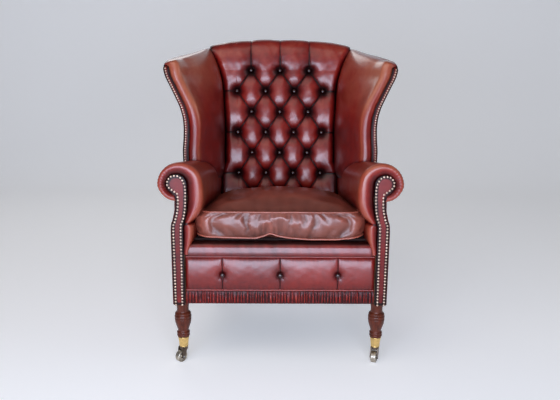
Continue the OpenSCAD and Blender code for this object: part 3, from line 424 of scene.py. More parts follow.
def finished(obj, body, slot, material, *nodes):
    """Gives a piece its material and body, and lets it stand for its CAD nodes. The slot is not used."""
    obj.data.materials.clear()
    obj.data.materials.append(material)
    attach(obj, body)
    if nodes:
        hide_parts(*nodes)
    return obj


# Materials

# Noise scales, per metre
CLOUD, PATCH, WRINKLE, PEBBLE = 6.0, 42.0, 70.0, 620.0
METAL_PATCH, SCRATCH = 60.0, 480.0
STREAK, PORE, THREADS = 14.0, 90.0, 150.0
# Heights of bumps in metres
FINE, COARSE = 0.0004, 0.001


class Nodes:
    """A material's node tree, with short ways to add and join nodes."""

    def __init__(self, name):
        self.material = bpy.data.materials.new(name)
        self.material.use_nodes = True
        self.tree = self.material.node_tree
        self.tree.nodes.clear()
        self.shader = self.add("ShaderNodeBsdfPrincipled")
        out = self.add("ShaderNodeOutputMaterial")
        self.join(self.shader, "BSDF", out, "Surface")
        self.place = self.add("ShaderNodeTexCoord")

    def add(self, kind, **settings):
        """A node of a kind with its settings."""
        node = self.tree.nodes.new(kind)
        for key, value in settings.items():
            setattr(node, key, value)
        return node

    def join(self, a, out, b, into):
        """A link from one node's output to another's input."""
        self.tree.links.new(a.outputs[out], b.inputs[into])

    def noise(self, scale, detail=3.0, rough=0.55, stretch=None):
        """Cloudy noise on the piece's own coordinates, drawn out where asked."""
        node = self.add("ShaderNodeTexNoise")
        node.inputs["Scale"].default_value = scale
        node.inputs["Detail"].default_value = detail
        node.inputs["Roughness"].default_value = rough
        self.join(*self.placed(stretch), node, "Vector")
        return node

    def placed(self, stretch=None):
        """The piece's own coordinates, scaled along each axis where asked."""
        if stretch is None:
            return self.place, "Object"
        mapping = self.add("ShaderNodeMapping")
        mapping.inputs["Scale"].default_value = stretch
        self.join(self.place, "Object", mapping, "Vector")
        return mapping, "Vector"

    def sum(self, a, out_a, b, out_b, share):
        """a plus share times (b - 0.5)."""
        node = self.add("ShaderNodeMath", operation="SUBTRACT")
        self.join(b, out_b, node, 0)
        node.inputs[1].default_value = 0.5
        mul = self.add("ShaderNodeMath", operation="MULTIPLY_ADD")
        self.join(node, 0, mul, 0)
        mul.inputs[1].default_value = share
        self.join(a, out_a, mul, 2)
        return mul

    def ramp(self, source, out, stops):
        """Colours between stops of a place and a colour."""
        node = self.add("ShaderNodeValToRGB")
        self.join(source, out, node, "Fac")
        elements = node.color_ramp.elements
        while len(elements) < len(stops):
            elements.new(0.5)
        for element, (at, shade) in zip(elements, stops):
            element.position = at
            element.color = (*shade, 1)
        return node

    def bump(self, source, out, strength, distance, under=None):
        """Relief from a value, on top of another relief where given."""
        node = self.add("ShaderNodeBump")
        node.inputs["Strength"].default_value = strength
        node.inputs["Distance"].default_value = distance
        self.join(source, out, node, "Height")
        if under is not None:
            self.join(under, "Normal", node, "Normal")
        return node

    def spread(self, source, out, low, high):
        """A value from 0 to 1 spread between two others."""
        node = self.add("ShaderNodeMapRange")
        self.join(source, out, node, "Value")
        node.inputs["To Min"].default_value = low
        node.inputs["To Max"].default_value = high
        return node

    def set(self, **values):
        """Plain values on the shader's own sockets."""
        for key, value in values.items():
            self.shader.inputs[key.replace("_", " ")].default_value = value


def leather(name, stops, rough=(0.32, 0.46), grain=0.2, mottle=0.45, coat=1.6, gloss=0.22):
    """Rubbed leather: the point value of wear and painted light runs from painted shade in pits and seams
    to worn crowns with a painted sheen, broken up by clouds and patches of noise, over a fine pebbled
    grain. The polish lies on what is rubbed and lit, and none in the painted shade."""
    bare_coat, patch_share = 0.03, 0.6
    n = Nodes(name)
    rub = n.add("ShaderNodeAttribute", attribute_name="rub")
    cloud = n.noise(CLOUD, 4.0)
    patch = n.noise(PATCH, 5.0, 0.65)
    level = n.sum(rub, "Fac", cloud, "Fac", mottle)
    level = n.sum(level, 0, patch, "Fac", mottle * patch_share)
    n.join(n.ramp(level, 0, stops), "Color", n.shader, "Base Color")
    n.join(n.spread(patch, "Fac", *rough), "Result", n.shader, "Roughness")
    pebble = n.add("ShaderNodeTexVoronoi", feature="DISTANCE_TO_EDGE")
    pebble.inputs["Scale"].default_value = PEBBLE
    n.join(n.place, "Object", pebble, "Vector")
    wrinkle = n.noise(WRINKLE, 6.0, 0.6)
    soft = n.bump(wrinkle, "Fac", 0.05, COARSE)
    fine = n.bump(pebble, "Distance", grain, FINE, soft)
    n.join(fine, "Normal", n.shader, "Normal")
    n.join(n.spread(rub, "Fac", bare_coat, coat), "Result", n.shader, "Coat Weight")
    n.set(IOR=1.45, Coat_Roughness=0.27, Specular_IOR_Level=gloss)
    return n.material


def oxblood():
    """The leather's tones, from painted shade in pits and seams to worn crowns with a painted sheen."""
    between = tuple(mix(a, b, 0.5) for a, b in zip(tone("body"), tone("worn")))
    return [
        (0.0, tone("shadow", 0.15)), (0.2, tone("shadow")), (0.4, tone("crimson")), (0.62, tone("body")),
        (0.85, between), (1.0, tone("worn")),
    ]


def cushion_tones():
    """The cushion's browner tones: darker copies of one colour as painted shade at its seams, and a lighter
    copy as painted light on its crown.
    """
    return [
        (0.0, tone("cushion", 0.06)), (0.35, tone("cushion", 0.42)), (0.7, tone("cushion")),
        (1.0, tone("cushion", 1.9)),
    ]


def button_tones():
    """The covered buttons' dark tones: the leather's shadow tones, as painted shade of the pits they sit in.
    """
    return [(0.0, tone("shadow", 0.3)), (0.6, tone("shadow")), (1.0, tone("crimson", 0.5))]


def metal(name, bright, dark, rough):
    """Metal whose tone and polish vary in small patches, with fine scratches drawn out
    along its height."""
    wear = 0.35
    n = Nodes(name)
    patch = n.noise(METAL_PATCH, 4.0, 0.6)
    scratch = n.noise(SCRATCH, 2.0, 0.5, (1.0, 1.0, 0.12))
    level = n.sum(patch, "Fac", scratch, "Fac", wear)
    n.join(n.ramp(level, 0, [(0.25, dark), (0.62, bright)]), "Color", n.shader, "Base Color")
    n.join(n.spread(patch, "Fac", rough[1], rough[0]), "Result", n.shader, "Roughness")
    n.join(n.bump(scratch, "Fac", 0.12, FINE), "Normal", n.shader, "Normal")
    n.set(Metallic=1.0)
    return n.material


def wood(name, light, dark, rough, coat=0.0, gloss=0.5):
    """Timber: streaks drawn out along the height, with darker pores."""
    pore_share = 0.22
    n = Nodes(name)
    streak = n.noise(STREAK, 6.0, 0.62, (9.0, 9.0, 1.1))
    pore = n.noise(PORE, 3.0, 0.5, (1.0, 1.0, 0.08))
    level = n.sum(streak, "Fac", pore, "Fac", pore_share)
    n.join(n.ramp(level, 0, [(0.3, dark), (0.68, light)]), "Color", n.shader, "Base Color")
    n.join(n.spread(pore, "Fac", *rough), "Result", n.shader, "Roughness")
    n.join(n.bump(pore, "Fac", 0.15, FINE), "Normal", n.shader, "Normal")
    n.set(Coat_Weight=coat, Coat_Roughness=0.12, Specular_IOR_Level=gloss)
    return n.material


def cloth(name, light, dark):
    """Plain woven cloth: two crossed sets of threads."""
    n = Nodes(name)
    across = n.add("ShaderNodeTexWave", bands_direction="X")
    along = n.add("ShaderNodeTexWave", bands_direction="Y")
    for wave in (across, along):
        wave.inputs["Scale"].default_value = THREADS
        wave.inputs["Distortion"].default_value = 0.6
        n.join(n.place, "Object", wave, "Vector")
    both = n.sum(across, "Fac", along, "Fac", 1.0)
    n.join(n.ramp(both, 0, [(0.1, dark), (0.9, light)]), "Color", n.shader, "Base Color")
    n.join(n.bump(both, 0, 0.3, 0.0005), "Normal", n.shader, "Normal")
    n.set(Roughness=0.9)
    return n.material


MATERIALS = {}


def finish_of(key):
    """One material of each kind, made when it is first asked for."""
    makers = {
        "leather": lambda: leather("oxblood_leather", oxblood()),
        "arm": lambda: leather("arm_leather", oxblood(), coat=1.0),
        "pad": lambda: leather("cushion_top_leather", cushion_tones(), (0.34, 0.48), mottle=0.3, coat=1.1),
        "facing": lambda: leather("facing_leather", oxblood(), (0.4, 0.52), mottle=0.5, coat=0.4),
        "button": lambda: leather("button_leather", button_tones(), (0.18, 0.28), grain=0.1),
        "nail": lambda: metal("antique_brass_nails", tone("nails"), tone("nails", 0.5), (0.22, 0.36)),
        "cup": lambda: metal("polished_brass", tone("brass"), tone("brass", 0.66), (0.12, 0.28)),
        "horn": lambda: metal("bronzed_iron", (0.16, 0.12, 0.09), (0.04, 0.03, 0.025), (0.35, 0.55)),
        "tread": lambda: metal("worn_wheel", (0.55, 0.5, 0.42), (0.22, 0.18, 0.14), (0.3, 0.5)),
        "steel": lambda: metal("spring_steel", (0.5, 0.5, 0.52), (0.24, 0.24, 0.25), (0.3, 0.45)),
        "mahogany": lambda: wood(
            "mahogany", tone("timber"), tone("timber", 0.4), (0.34, 0.46), coat=0.35, gloss=0.1
        ),
        "beech": lambda: wood("beech", (0.34, 0.22, 0.12), (0.22, 0.13, 0.065), (0.5, 0.62)),
        "linen": lambda: cloth("platform_cloth", (0.05, 0.022, 0.018), (0.025, 0.010, 0.009)),
        "lining": lambda: cloth("lining", (0.02, 0.018, 0.017), (0.008, 0.007, 0.007)),
    }
    if key not in MATERIALS:
        MATERIALS[key] = makers[key]()
    return MATERIALS[key]


# Lines of the wings, the arms and the back, right side

# Shares of the way from the wings' foot to their tip, with shares of their spread
WING_EDGE = [
    [0, 0.03], [0.13, 0.05], [0.27, 0.01], [0.36, 0.0], [0.45, 0.03], [0.58, 0.18],
    [0.68, 0.39], [0.8, 0.66], [0.92, 0.92], [1, 1],
]
WING_SWEEP = [[0, 0], [0.5, 0.6], [1, 1]]
# Shares of the way from the tip to the back, with shares of the top edge's rise
WING_TOP = [[0, 0], [0.1, 0.3], [0.3, 0.5], [0.6, 0.72], [0.85, 0.93], [1, 1]]
# Shares of the seam's height, with shares of its spread
SEAM = [[0, 0], [0.5, 0], [0.65, 0.08], [0.78, 0.18], [0.84, 0.32], [0.92, 0.6], [1, 1]]
WING_BASE_Z, WING_TIP_Z = 675.0, 1026.0
WING_FOOT_X, WING_TIP_X, PAST_TIP = 358.0, 432.0, 1.4
WING_FOOT_Y, WING_BACKWARD = 262.0, 38.0
SEAM_FOOT_Z, SEAM_TOP_Z = 460.0, 1102.0
SEAM_FOOT_X, SEAM_SPREAD = 231.0, 62.0
REAR_X, REAR_PLAY = 305.0, 5.0
WING_ROLL, WING_STRIP, STRIP_DEPTH = 22.0, 20.0, 8.0
OUTSIDE_FOOT_Z = 598.0


def wing_rise(z):
    """Share of the way from the wings' foot to their tip."""
    return (z - WING_BASE_Z) / (WING_TIP_Z - WING_BASE_Z)


def wing_x(z):
    """Half width of the chair along the wings' front edge."""
    t = wing_rise(z)
    return mix(WING_FOOT_X, WING_TIP_X, eased(t, WING_EDGE) + np.maximum(t - 1, 0) * PAST_TIP)


def wing_y(z):
    """Depth of the wings' front edge: it sweeps back as it rises."""
    return WING_FOOT_Y + WING_BACKWARD * eased(wing_rise(z), WING_SWEEP)


def seam_x(z):
    """Half width of the back at its seam with the wings."""
    return SEAM_FOOT_X + SEAM_SPREAD * eased((z - SEAM_FOOT_Z) / (SEAM_TOP_Z - SEAM_FOOT_Z), SEAM)


def wing_top(s):
    """Height of the wings' top edge, from the tip at 0 to the back at 1."""
    return mix(WING_TIP_Z, SEAM_TOP_Z, eased(s, WING_TOP))


def wing_skin_at(z, s):
    """The outside of the wing, flat from its front edge to the chair's rear corner."""
    a = np.stack([wing_x(z), wing_y(z) + STRIP_DEPTH], -1)
    b = np.stack([np.full_like(z, REAR_X), outside(z) - REAR_PLAY], -1)
    return mix(a, b, np.asarray(s)[..., None])


# The arms' section, as [x, z] seen from the front
SCROLL, SCROLL_R = np.array([335.0, 645.0]), 73.0
EYE, EYE_R = np.array([346.0, 646.0]), 34.0
TURNS = np.array([-75.0, -50, -25, 0, 30, 60, 90, 120, 150, 180])
UNDERCUT = 0.235
BELLY_DROP, BELLY_RX, BELLY_RZ = 40.0, 74.0, 92.0
BELLY_TURNS = [184, 205, 225, 240]
LOWER_ROLL = [[302, 513], [297, 501], [299, 461], [311, 421], [313, 405]]
NECK = [
    [311, 598], [313, 573], [315, 554], [320, 526], [325, 511], [327, 501], [327, 461], [327, 421],
    [327, 405],
]
CREASE_AT, CREASE = 14, [308.0, 512.0]
BELLY_AT = len(TURNS)
ARM_FALL, FALL_FOOT_Z, FALL_RUN = 0.13, 421.0, 92.0
IN_TAPER, OUT_TAPER = math.tan(math.radians(3)), math.tan(math.radians(6))
IN_X, OUT_X = 297.0, 371.0


def turned(centre, rx, rz, degrees):
    """Points round an ellipse at given angles, from the right and anticlockwise."""
    a = np.radians(degrees)
    return np.stack([centre[0] + rx * np.cos(a), centre[1] + rz * np.sin(a)], -1)


def arm_outline():
    """The padded roll in section: tucked under outside, round the scroll, down the belly to
    the crease and over the lower roll."""
    r = np.where(TURNS < 0, SCROLL_R * (1 - UNDERCUT * TURNS / TURNS[0]), SCROLL_R)
    belly = turned(SCROLL - [0, BELLY_DROP], BELLY_RX, BELLY_RZ, BELLY_TURNS)
    return np.concatenate([turned(SCROLL, r, r, TURNS), belly, np.array(LOWER_ROLL, float)])


def core_outline():
    """The edge of the facing, point for point beside the padded roll."""
    return np.concatenate([turned(EYE, EYE_R, EYE_R, TURNS), np.array(NECK, float)])


ARM = arm_outline()
CORE = core_outline()


def taper_at(x):
    """How far the arm draws in for each unit of depth, at a place across its section."""
    return mix(IN_TAPER, OUT_TAPER, (x - IN_X) / (OUT_X - IN_X))


def fall_at(z):
    """How far the arm falls for each unit of depth, at a height in its section."""
    return ARM_FALL * np.clip((z - FALL_FOOT_Z) / FALL_RUN, 0, 1)


def arm_point(p, y):
    """A point of the section carried to a depth: the arm draws in and falls backwards."""
    x, z = p[..., 0], p[..., 1]
    return np.stack([x - taper_at(x) * y, np.broadcast_to(y, x.shape), z - fall_at(z) * y], -1)


def arm_top(x, y):
    """Height of the roll's upper surface over a place in plan, which is first carried
    back along the taper to its place in the section."""
    slope = taper_at(1.0) - taper_at(0.0)
    d = np.clip(((x + taper_at(0.0) * y) / (1 - slope * y) - SCROLL[0]) / SCROLL_R, -1, 1)
    return SCROLL[1] - ARM_FALL * y + SCROLL_R * np.sqrt(1 - d * d)


def arm_rear(p):
    """Depth at which each point of the section meets the outside back."""
    inset = 5.3
    return (outside(p[:, 1]) - inset) / (1 + fall_at(p[:, 1]) * RAKE)


def arm_inner(y, z):
    """The arm's inner face at a depth and height."""
    inner = ARM[BELLY_AT:][::-1]
    x = np.interp(z, inner[:, 1], inner[:, 0])
    return x - taper_at(x) * y


# Buttoned back

ROW_Z, ROW_PITCH, LAST_ROW, END = 1014.0, 84.5, 6, 3
BUTTONS = [(u, v) for v in range(LAST_ROW + 1) for u in ((-2, 0, 2) if v % 2 == 0 else (-3, -1, 1, 3))]
TOP_HALF_PITCH, LOW_HALF_PITCH, MEAN_HALF_PITCH = 60.5, 56.5, 58.5
CREASE_PITCH, CREASE_WIDTH = 58.0, 2.6
BACK_ARCH, BACK_ARCH_HALF, ARCH_POWER = 26.0, 293.0, 2.6
BACK_FOOT_Z, BACK_SEAM = 432.0, 1.0
TUCK_Z, TUCK_RUN, TUCK_WIDTH = 640.0, 55.0, 24.0
FRONT_SHARE = 0.72
# The roll over the top, as [depth behind the face, share of the rise above the top row]
TOP_ROLL = [
    [0, 0], [-2.5, 0.3], [-1, 0.56], [6, 0.76], [19, 0.91], [40, 0.985], [80, 1.0],
    [138, 0.99], [149, 0.955], [154, 0.89], [154, 0.78],
]
# Rows above the top one, with the share of their depth that the pleats keep
PLEAT_FADE = [[0, 1], [0.3, 0.8], [0.8, 0.5], [1.3, 0.32], [2.2, 0.2], [3.2, 0]]


def half_pitch(v):
    """Half the distance between two buttons of a row."""
    return mix(TOP_HALF_PITCH, LOW_HALF_PITCH, np.clip(v, 0, LAST_ROW) / LAST_ROW)


def back_top(x):
    """Height of the back's top edge: a flat arch that falls towards the wings."""
    return CHAIR_H - BACK_ARCH * np.minimum(1, np.abs(x) / BACK_ARCH_HALF) ** ARCH_POWER


def pillow(u, v):
    """Fullness between the pleats, from 0 in a pleat to 1 on a crown.

    Inside, pleats run where (u + v) / 2 or (u - v) / 2 is whole, and the fullness is the
    root of the product of the two sines. Above and below the buttons pleats run upright,
    and beside them they run level from the outer buttons to the seam."""
    p, q = np.abs(np.sin(np.pi * (u + v) / 2)), np.abs(np.sin(np.pi * (u - v) / 2))
    upright = np.where(np.abs(u) > END, 1.0, np.abs(np.sin(np.pi * u / 2)))
    level = np.abs(np.sin(np.pi * (v - 1) / 2))
    full = np.where(np.abs(u) > END, level, np.sqrt(p * q))
    return np.where((v < 0) | (v > LAST_ROW), upright, full)


def crease(u, v):
    """1 on a pleat's line and 0 a few millimetres away from it."""
    p, q = (u + v) / 2, (u - v) / 2
    slope = 0.5 * np.hypot(1 / CREASE_PITCH, 1 / ROW_PITCH)
    far = 99.0
    near = np.minimum(np.abs(p - np.round(p)), np.abs(q - np.round(q))) / slope
    side = np.abs(v - 1 - 2 * np.round((v - 1) / 2)) * ROW_PITCH
    up = np.where(np.abs(u) > END, far, np.abs(u - 2 * np.round(u / 2)) * CREASE_PITCH)
    d = np.where(np.abs(u) > END, side, near)
    d = np.where((v < 0) | (v > LAST_ROW), up, d)
    return bell(d, 0, CREASE_WIDTH)


def to_button(u, v):
    """Distance in millimetres to the nearest button."""
    best = np.full(np.broadcast(u, v).shape, np.inf)
    for bu, bv in BUTTONS:
        best = np.minimum(best, np.hypot((u - bu) * MEAN_HALF_PITCH, (v - bv) * ROW_PITCH))
    return best


def back_half(z):
    """Half width of the back's leather: its seam with the wings, and wider where it is
    tucked in beside the arms."""
    tucked = eased((TUCK_Z - z) / TUCK_RUN, [[0, 0], [0.5, 0.5], [1, 1]])
    return seam_x(z) - BACK_SEAM + TUCK_WIDTH * tucked


def back_form(rows, cols):
    """The back without its buttoning, as a grid with each point's row of buttons: up the
    leaning plane, and then over the top edge by one profile for every column."""
    c = np.linspace(-1, 1, cols)
    c = np.sign(c) * (1 - (1 - np.abs(c)) ** 1.12)
    low_rows = int(rows * FRONT_SHARE)
    z = np.linspace(BACK_FOOT_Z, ROW_Z, low_rows, endpoint=False)[:, None]
    x = c[None, :] * back_half(z)
    front = np.stack([x, back_face(z) + 0 * x, z + 0 * x], -1)
    behind, shares = np.array(TOP_ROLL, float).T[..., None]
    zz = ROW_Z + shares * (back_top(c * (seam_x(SEAM_TOP_Z) - BACK_SEAM)) - ROW_Z)
    yy = back_face(zz) + behind
    xx = c[None, :] * (seam_x(np.minimum(zz, SEAM_TOP_Z)) - BACK_SEAM)
    turns = np.linspace(0, len(TOP_ROLL) - 1, rows - low_rows)
    roll = np.moveaxis(through(np.stack([xx, yy, zz], -1).swapaxes(0, 1), turns), 1, 0)
    steps = np.linalg.norm(np.diff(roll, axis=0), axis=-1)
    run = np.concatenate([np.zeros((1, cols)), np.cumsum(steps, axis=0)])
    v = np.broadcast_to((ROW_Z - z) / ROW_PITCH, x.shape)
    return np.concatenate([front, roll]), np.concatenate([v, -run / ROW_PITCH])


def back_surface(rows=300, cols=280):
    """The back's leather: the form sinks by the pleats, which fade towards the top edge, by
    the pits round the buttons, by a fine crease along each pleat, and at the seams, where
    its edge follows a quarter circle."""
    pleat, pit_depth = size("pleat_depth"), size("pit_depth")
    fine, uneven, side_share, seam_run, seam_depth = 2.4, 1.5, 0.73, 30.0, 42.0
    p, v = back_form(rows, cols)
    above = v < 0
    u = p[..., 0] / half_pitch(v)
    d = to_button(u, v)
    near = np.maximum(d - 7.0, 0)
    pit = 0.6 * np.exp(-((near / 9.0) ** 1.3)) + 0.4 * np.exp(-((near / 22.0) ** 1.6))
    full = pillow(u, v)
    line = crease(u, v)
    fade = np.where(above, eased(-v, PLEAT_FADE), 1)
    fold = np.where(np.abs(u) > END, side_share, 1.0) * pleat * (1 - full**0.85) * fade
    held = np.where(above, bell(v, 0, 0.34), 1)
    sink = fold * (1 - pit) + pit_depth * pit * held + fine * line * np.clip(fade * 1.4, 0, 1) * (1 - pit)
    sink = sink - uneven * ripple(p[..., 0], p[..., 2], 130.0, 4) * (1 - pit)
    wide = back_half(np.minimum(p[..., 2], SEAM_TOP_Z))
    e = np.clip((wide - np.abs(p[..., 0])) / seam_run, 0, 1)
    flatter = mix(1.0, 0.06, np.clip((-v - 0.5) / 0.6, 0, 1))
    n_dir = np.where(above[..., None], normals(p), np.array([0.0, -1.0, 0.0]))
    p = p - n_dir * (sink + seam_depth * (1 - quarter(e)) * flatter)[..., None]
    # Painted shade: the leather darkens round the buttons' pits, beside the pleats, along each crease and
    # towards the seams; a little random tone lies over it.
    dark = np.exp(-((np.maximum(d - 9.0, 0) / 15.5) ** 1.5)) * held
    rub = 0.63 + 0.1 * ripple(p[..., 0], p[..., 2], 80.0, 6) - 0.25 * (1 - full) * np.clip(fade * 1.3, 0, 1)
    rub = rub * (1 - 0.97 * dark) * (1 - 0.85 * line * np.clip(fade * 1.6, 0, 1))
    rub = rub * (1 - 0.85 * (1 - e) ** 2)
    # Painted shade in the lower outer corners beside the arms, which also dulls the polish there.
    corner = np.clip((600.0 - p[..., 2]) / 35.0, 0, 1) * np.clip((np.abs(p[..., 0]) - 215.0) / 25.0, 0, 1)
    return p, rub * (1 - 0.7 * corner)


# Half sections from foot to crown, as shares of the radius
BUTTON = np.array([
    [0.36, -0.55], [0.78, -0.39], [0.96, -0.15], [1, 0.07], [0.93, 0.3], [0.73, 0.52], [0.44, 0.67],
    [0.17, 0.72],
])
NAIL = np.array([[0.67, -0.26], [1, 0], [0.92, 0.23], [0.69, 0.46], [0.33, 0.6]])
SMALL_NAIL_SHARE = 0.86
BUTTON_SUNK, BUTTON_SIDES, NAIL_SIDES = 26.0, 20, 10
FORWARD = [0.0, -1.0, 0.0]


def make_back():
    """The deep-buttoned back, closed behind to a point on the stuffing's plane."""
    centre_z, inset = 760.0, 1.0
    p, rub = back_surface()
    centre = [0.0, post_front(centre_z) - inset, centre_z]
    obj = outward(closed_behind("buttoned_back", p, rub, centre))
    finished(obj, "chair", "leather", finish_of("leather"), "inside_back")


def covered_buttons(name, places, up, shade, node):
    """Covered buttons at their places, all facing one way."""
    form = turned_form(BUTTON * size("button_radius"), BUTTON_SIDES)
    verts, quads, tris = copies(form, places, up)
    obj = outward(build(name, laid(verts), quads, tris, np.full(len(verts), shade)))
    finished(obj, "chair", "button_leather", finish_of("button"), node)


def make_back_buttons():
    """The back's covered buttons, sunk in their pits and square to the leaning face."""
    uv = np.array(BUTTONS, float)
    z = ROW_Z - uv[:, 1] * ROW_PITCH
    x = uv[:, 0] * half_pitch(uv[:, 1])
    lean = math.atan(RAKE)
    up = [0.0, -math.cos(lean), math.sin(lean)]
    places = np.stack([x, back_face(z) + BUTTON_SUNK, z], 1)
    # The buttons' tone is painted shade of their pits.
    covered_buttons("back_button_covers", places, up, 0.55, "back_buttons")


# Wings

# Turns round the front roll in degrees, shares of the face, and [across, behind] in the seam
ROLL_TURNS = [12, -25, -60, -95, -130, -165]
FACE_SHARES = (0.12, 0.28, 0.44, 0.6, 0.75, 0.88, 1.0)
SEAM_TUCKS = ([0.5, 22.0], [-1.0, 42.0])
WING_BULGE = 12.0
# For each control point across the wing, its share of the way from the tip to the back
WING_SHARES = [0.02, 0.035, 0.05, 0.07, 0.09, 0.11, 0.12, 0.28, 0.44, 0.6, 0.75, 0.88, 0.97, 0.99, 1.0]
# The turn over the top edge, as [share of the way outwards, depth below the edge]
TOP_PATH = np.array([
    [0.0, 34.0], [0.015, 20.0], [0.06, 9.0], [0.16, 2.2], [0.34, 0.0], [0.6, 0.0], [0.84, 1.0], [0.96, 6.0],
    [1.0, 14.0],
])
# The strip's section, as [across from the outer edge, behind the front]
STRIP = np.array([
    [-21.5, 9.0], [-20.8, 3.0], [-19.5, 0.6], [-16, -0.3], [-10, -0.8], [-4.5, -0.4], [-1.6, 1.0],
    [-0.2, 3.6], [0.0, 8.0], [-0.4, 11.0],
])
STRIP_FOOT_Z, STRIP_OVER, WING_NAILS = 668.0, 7.0, 40


def wing_columns(z):
    """Control points across the wing's padded side at heights z: round the front roll from
    the strip, over the bulging face and into the seam with the back."""
    cx, cy = wing_x(z) - WING_STRIP - WING_ROLL, wing_y(z) + WING_ROLL
    pts = [
        np.stack([cx + WING_ROLL * np.cos(a), cy + WING_ROLL * np.sin(a)], -1) for a in np.radians(ROLL_TURNS)
    ]
    start = np.stack([cx - WING_ROLL, cy + WING_ROLL / 2], -1)
    end = np.stack([seam_x(z) + BACK_SEAM, back_face(z)], -1)
    for s in FACE_SHARES:
        pts.append(mix(start, end, s) - np.array([WING_BULGE * math.sin(math.pi * s), 0.0]))
    pts.extend(end + tuck for tuck in SEAM_TUCKS)
    return np.stack(pts, -2)


def on_columns(z, turns):
    """Points of the padded side, one column of heights for each place across it."""
    columns = [through(wing_columns(z[:, i]), np.array([t]))[:, 0] for i, t in enumerate(turns)]
    return np.stack(columns, 1)


def wing_foot(turns):
    """Height at which each column meets the arm's roll, found step by step, and no higher
    than its mean over the columns beside it."""
    sunk, first, window = 2.5, 640.0, 9
    low = np.full(len(turns), first)
    for _ in range(6):
        at = on_columns(low[None], turns)[0]
        low = arm_top(at[:, 0], at[:, 1]) - sunk
    around = np.pad(low, window // 2, mode="edge")
    return np.minimum(low, np.convolve(around, np.ones(window) / window, mode="valid"))


def wing_surface(rows=150, cols=110):
    """The wing's padded side: each column rises from the arm, where it is drawn out to the
    arm's inner face, and turns over the top edge to the outside."""
    tuck_run, tuck_play, uneven = 60.0, 2.0, 2.0
    turns = np.linspace(0, len(WING_SHARES) - 1, cols)
    share = np.interp(turns, np.arange(len(WING_SHARES)), WING_SHARES)
    top = wing_top(share)
    low = wing_foot(turns)
    up_rows = int(rows * 0.78)
    r = np.linspace(0, 1, up_rows, endpoint=False)[:, None]
    z = low + r * (top - TOP_PATH[0, 1] - low)
    up = on_columns(z, turns)
    tuck = np.clip(1 - (z - low) / tuck_run, 0, 1) ** 2
    roll_x = SCROLL[0] - SCROLL_R
    arm_side = roll_x + tuck_play - taper_at(roll_x) * up[..., 1]
    up[..., 0] = mix(up[..., 0], np.maximum(up[..., 0], arm_side), tuck)
    path = through(TOP_PATH, rows - up_rows)
    zt = top[None] - path[:, 1][:, None]
    outer = wing_skin_at(zt, share[None] + 0 * zt) - np.array([1.0, 0.0])
    outer[..., 0] = mix(outer[..., 0], seam_x(SEAM_TOP_Z), np.clip((share - 0.97) / 0.03, 0, 1)[None])
    over = mix(on_columns(zt, turns), outer, path[:, 0][:, None, None])
    p = np.concatenate([np.concatenate([up, z[..., None]], -1), np.concatenate([over, zt[..., None]], -1)])
    s = np.linspace(0, 1, cols)[None]
    t = np.linspace(0, 1, rows)[:, None]
    wave = ripple(s * 260, t * 420, 210.0, 11, 2) * uneven
    p = p - normals(p) * (wave * hump(s * 1.1) * hump(t))[..., None]
    # Painted light and shade: lighter along the front roll and towards the top as a painted sheen; darker
    # towards the seam with the back, at the front edge under the strip, at the foot on the arm and over the
    # top edge as painted shade.
    rub = 0.51 + 0.3 * bell(s, 0.30, 0.08) + 0.4 * np.clip((t - 0.3) / 0.5, 0, 1)
    rub = rub - 0.22 * np.clip((s - 0.52) / 0.4, 0, 1) * (1 - 0.6 * t)
    rub = rub * np.clip(s / 0.05, 0.1, 1) * (1 - 0.9 * np.clip((s - 0.86) / 0.1, 0, 1))
    rub = rub * np.clip(t / 0.04 + 0.25, 0, 1)
    return p, rub * (1 - 0.5 * np.clip((t - 0.85) / 0.08, 0, 1))


def wing_strip(rows=160):
    """The nailed strip on the wing's front edge: its section carried up the edge, tucked in
    at its inner side and turned over at the tip."""
    z = np.linspace(STRIP_FOOT_Z, WING_TIP_Z + 2.0, rows)[:, None]
    over = np.clip((z - WING_TIP_Z + 10.0) / 12.0, 0, 1) ** 2 * STRIP_OVER
    section = through(STRIP, 26)
    x = wing_x(z) + section[:, 0] - over * 0.6
    y = wing_y(z) + section[:, 1] + over
    # Painted shade: darker where the strip turns back at its edges, lighter on its middle.
    rub = np.broadcast_to(0.12 + 0.5 * bell(section[:, 0], -10, 4.5), x.shape)
    return np.stack([x, y, z + 0 * x], -1), rub


def wing_nails():
    """Places of the nails, evenly along the middle of the strip."""
    z = np.linspace(686.0, WING_TIP_Z - 6.0, 400)
    return even(np.stack([wing_x(z) - 9.0, wing_y(z) - 0.9, z], 1), WING_NAILS)


def make_wings():
    """Both wings' padded sides, nailed strips and the cords between the two."""
    cord_r, cord_in, cord_behind = 1.9, 1.0, 1.2
    p, rub = wing_surface()
    strip, strip_shading = wing_strip()
    z = np.linspace(676.0, WING_TIP_Z - 1.0, 90)
    for side, word in SIDES:
        pad = sided(f"{word}_wing_leather", p, rub, side)
        finished(pad, "chair", "leather", finish_of("leather"), f"{word}_wing_pad")
        edge = sided(f"{word}_wing_strip", strip, strip_shading, side, 2.0)
        finished(edge, "chair", "facing_leather", finish_of("facing"), f"{word}_wing_facing")
        cord = np.stack([(wing_x(z) - WING_STRIP - cord_in) * side, wing_y(z) + cord_behind, z], 1)
        v, q, t = tube(cord, cord_r)
        # The cords are darkened as painted shade of the groove between the strip and the roll.
        obj = outward(build(f"{word}_wing_cord", laid(v), q, t, np.full(len(v), 0.12)))
        finished(obj, "chair", "leather", finish_of("leather"))


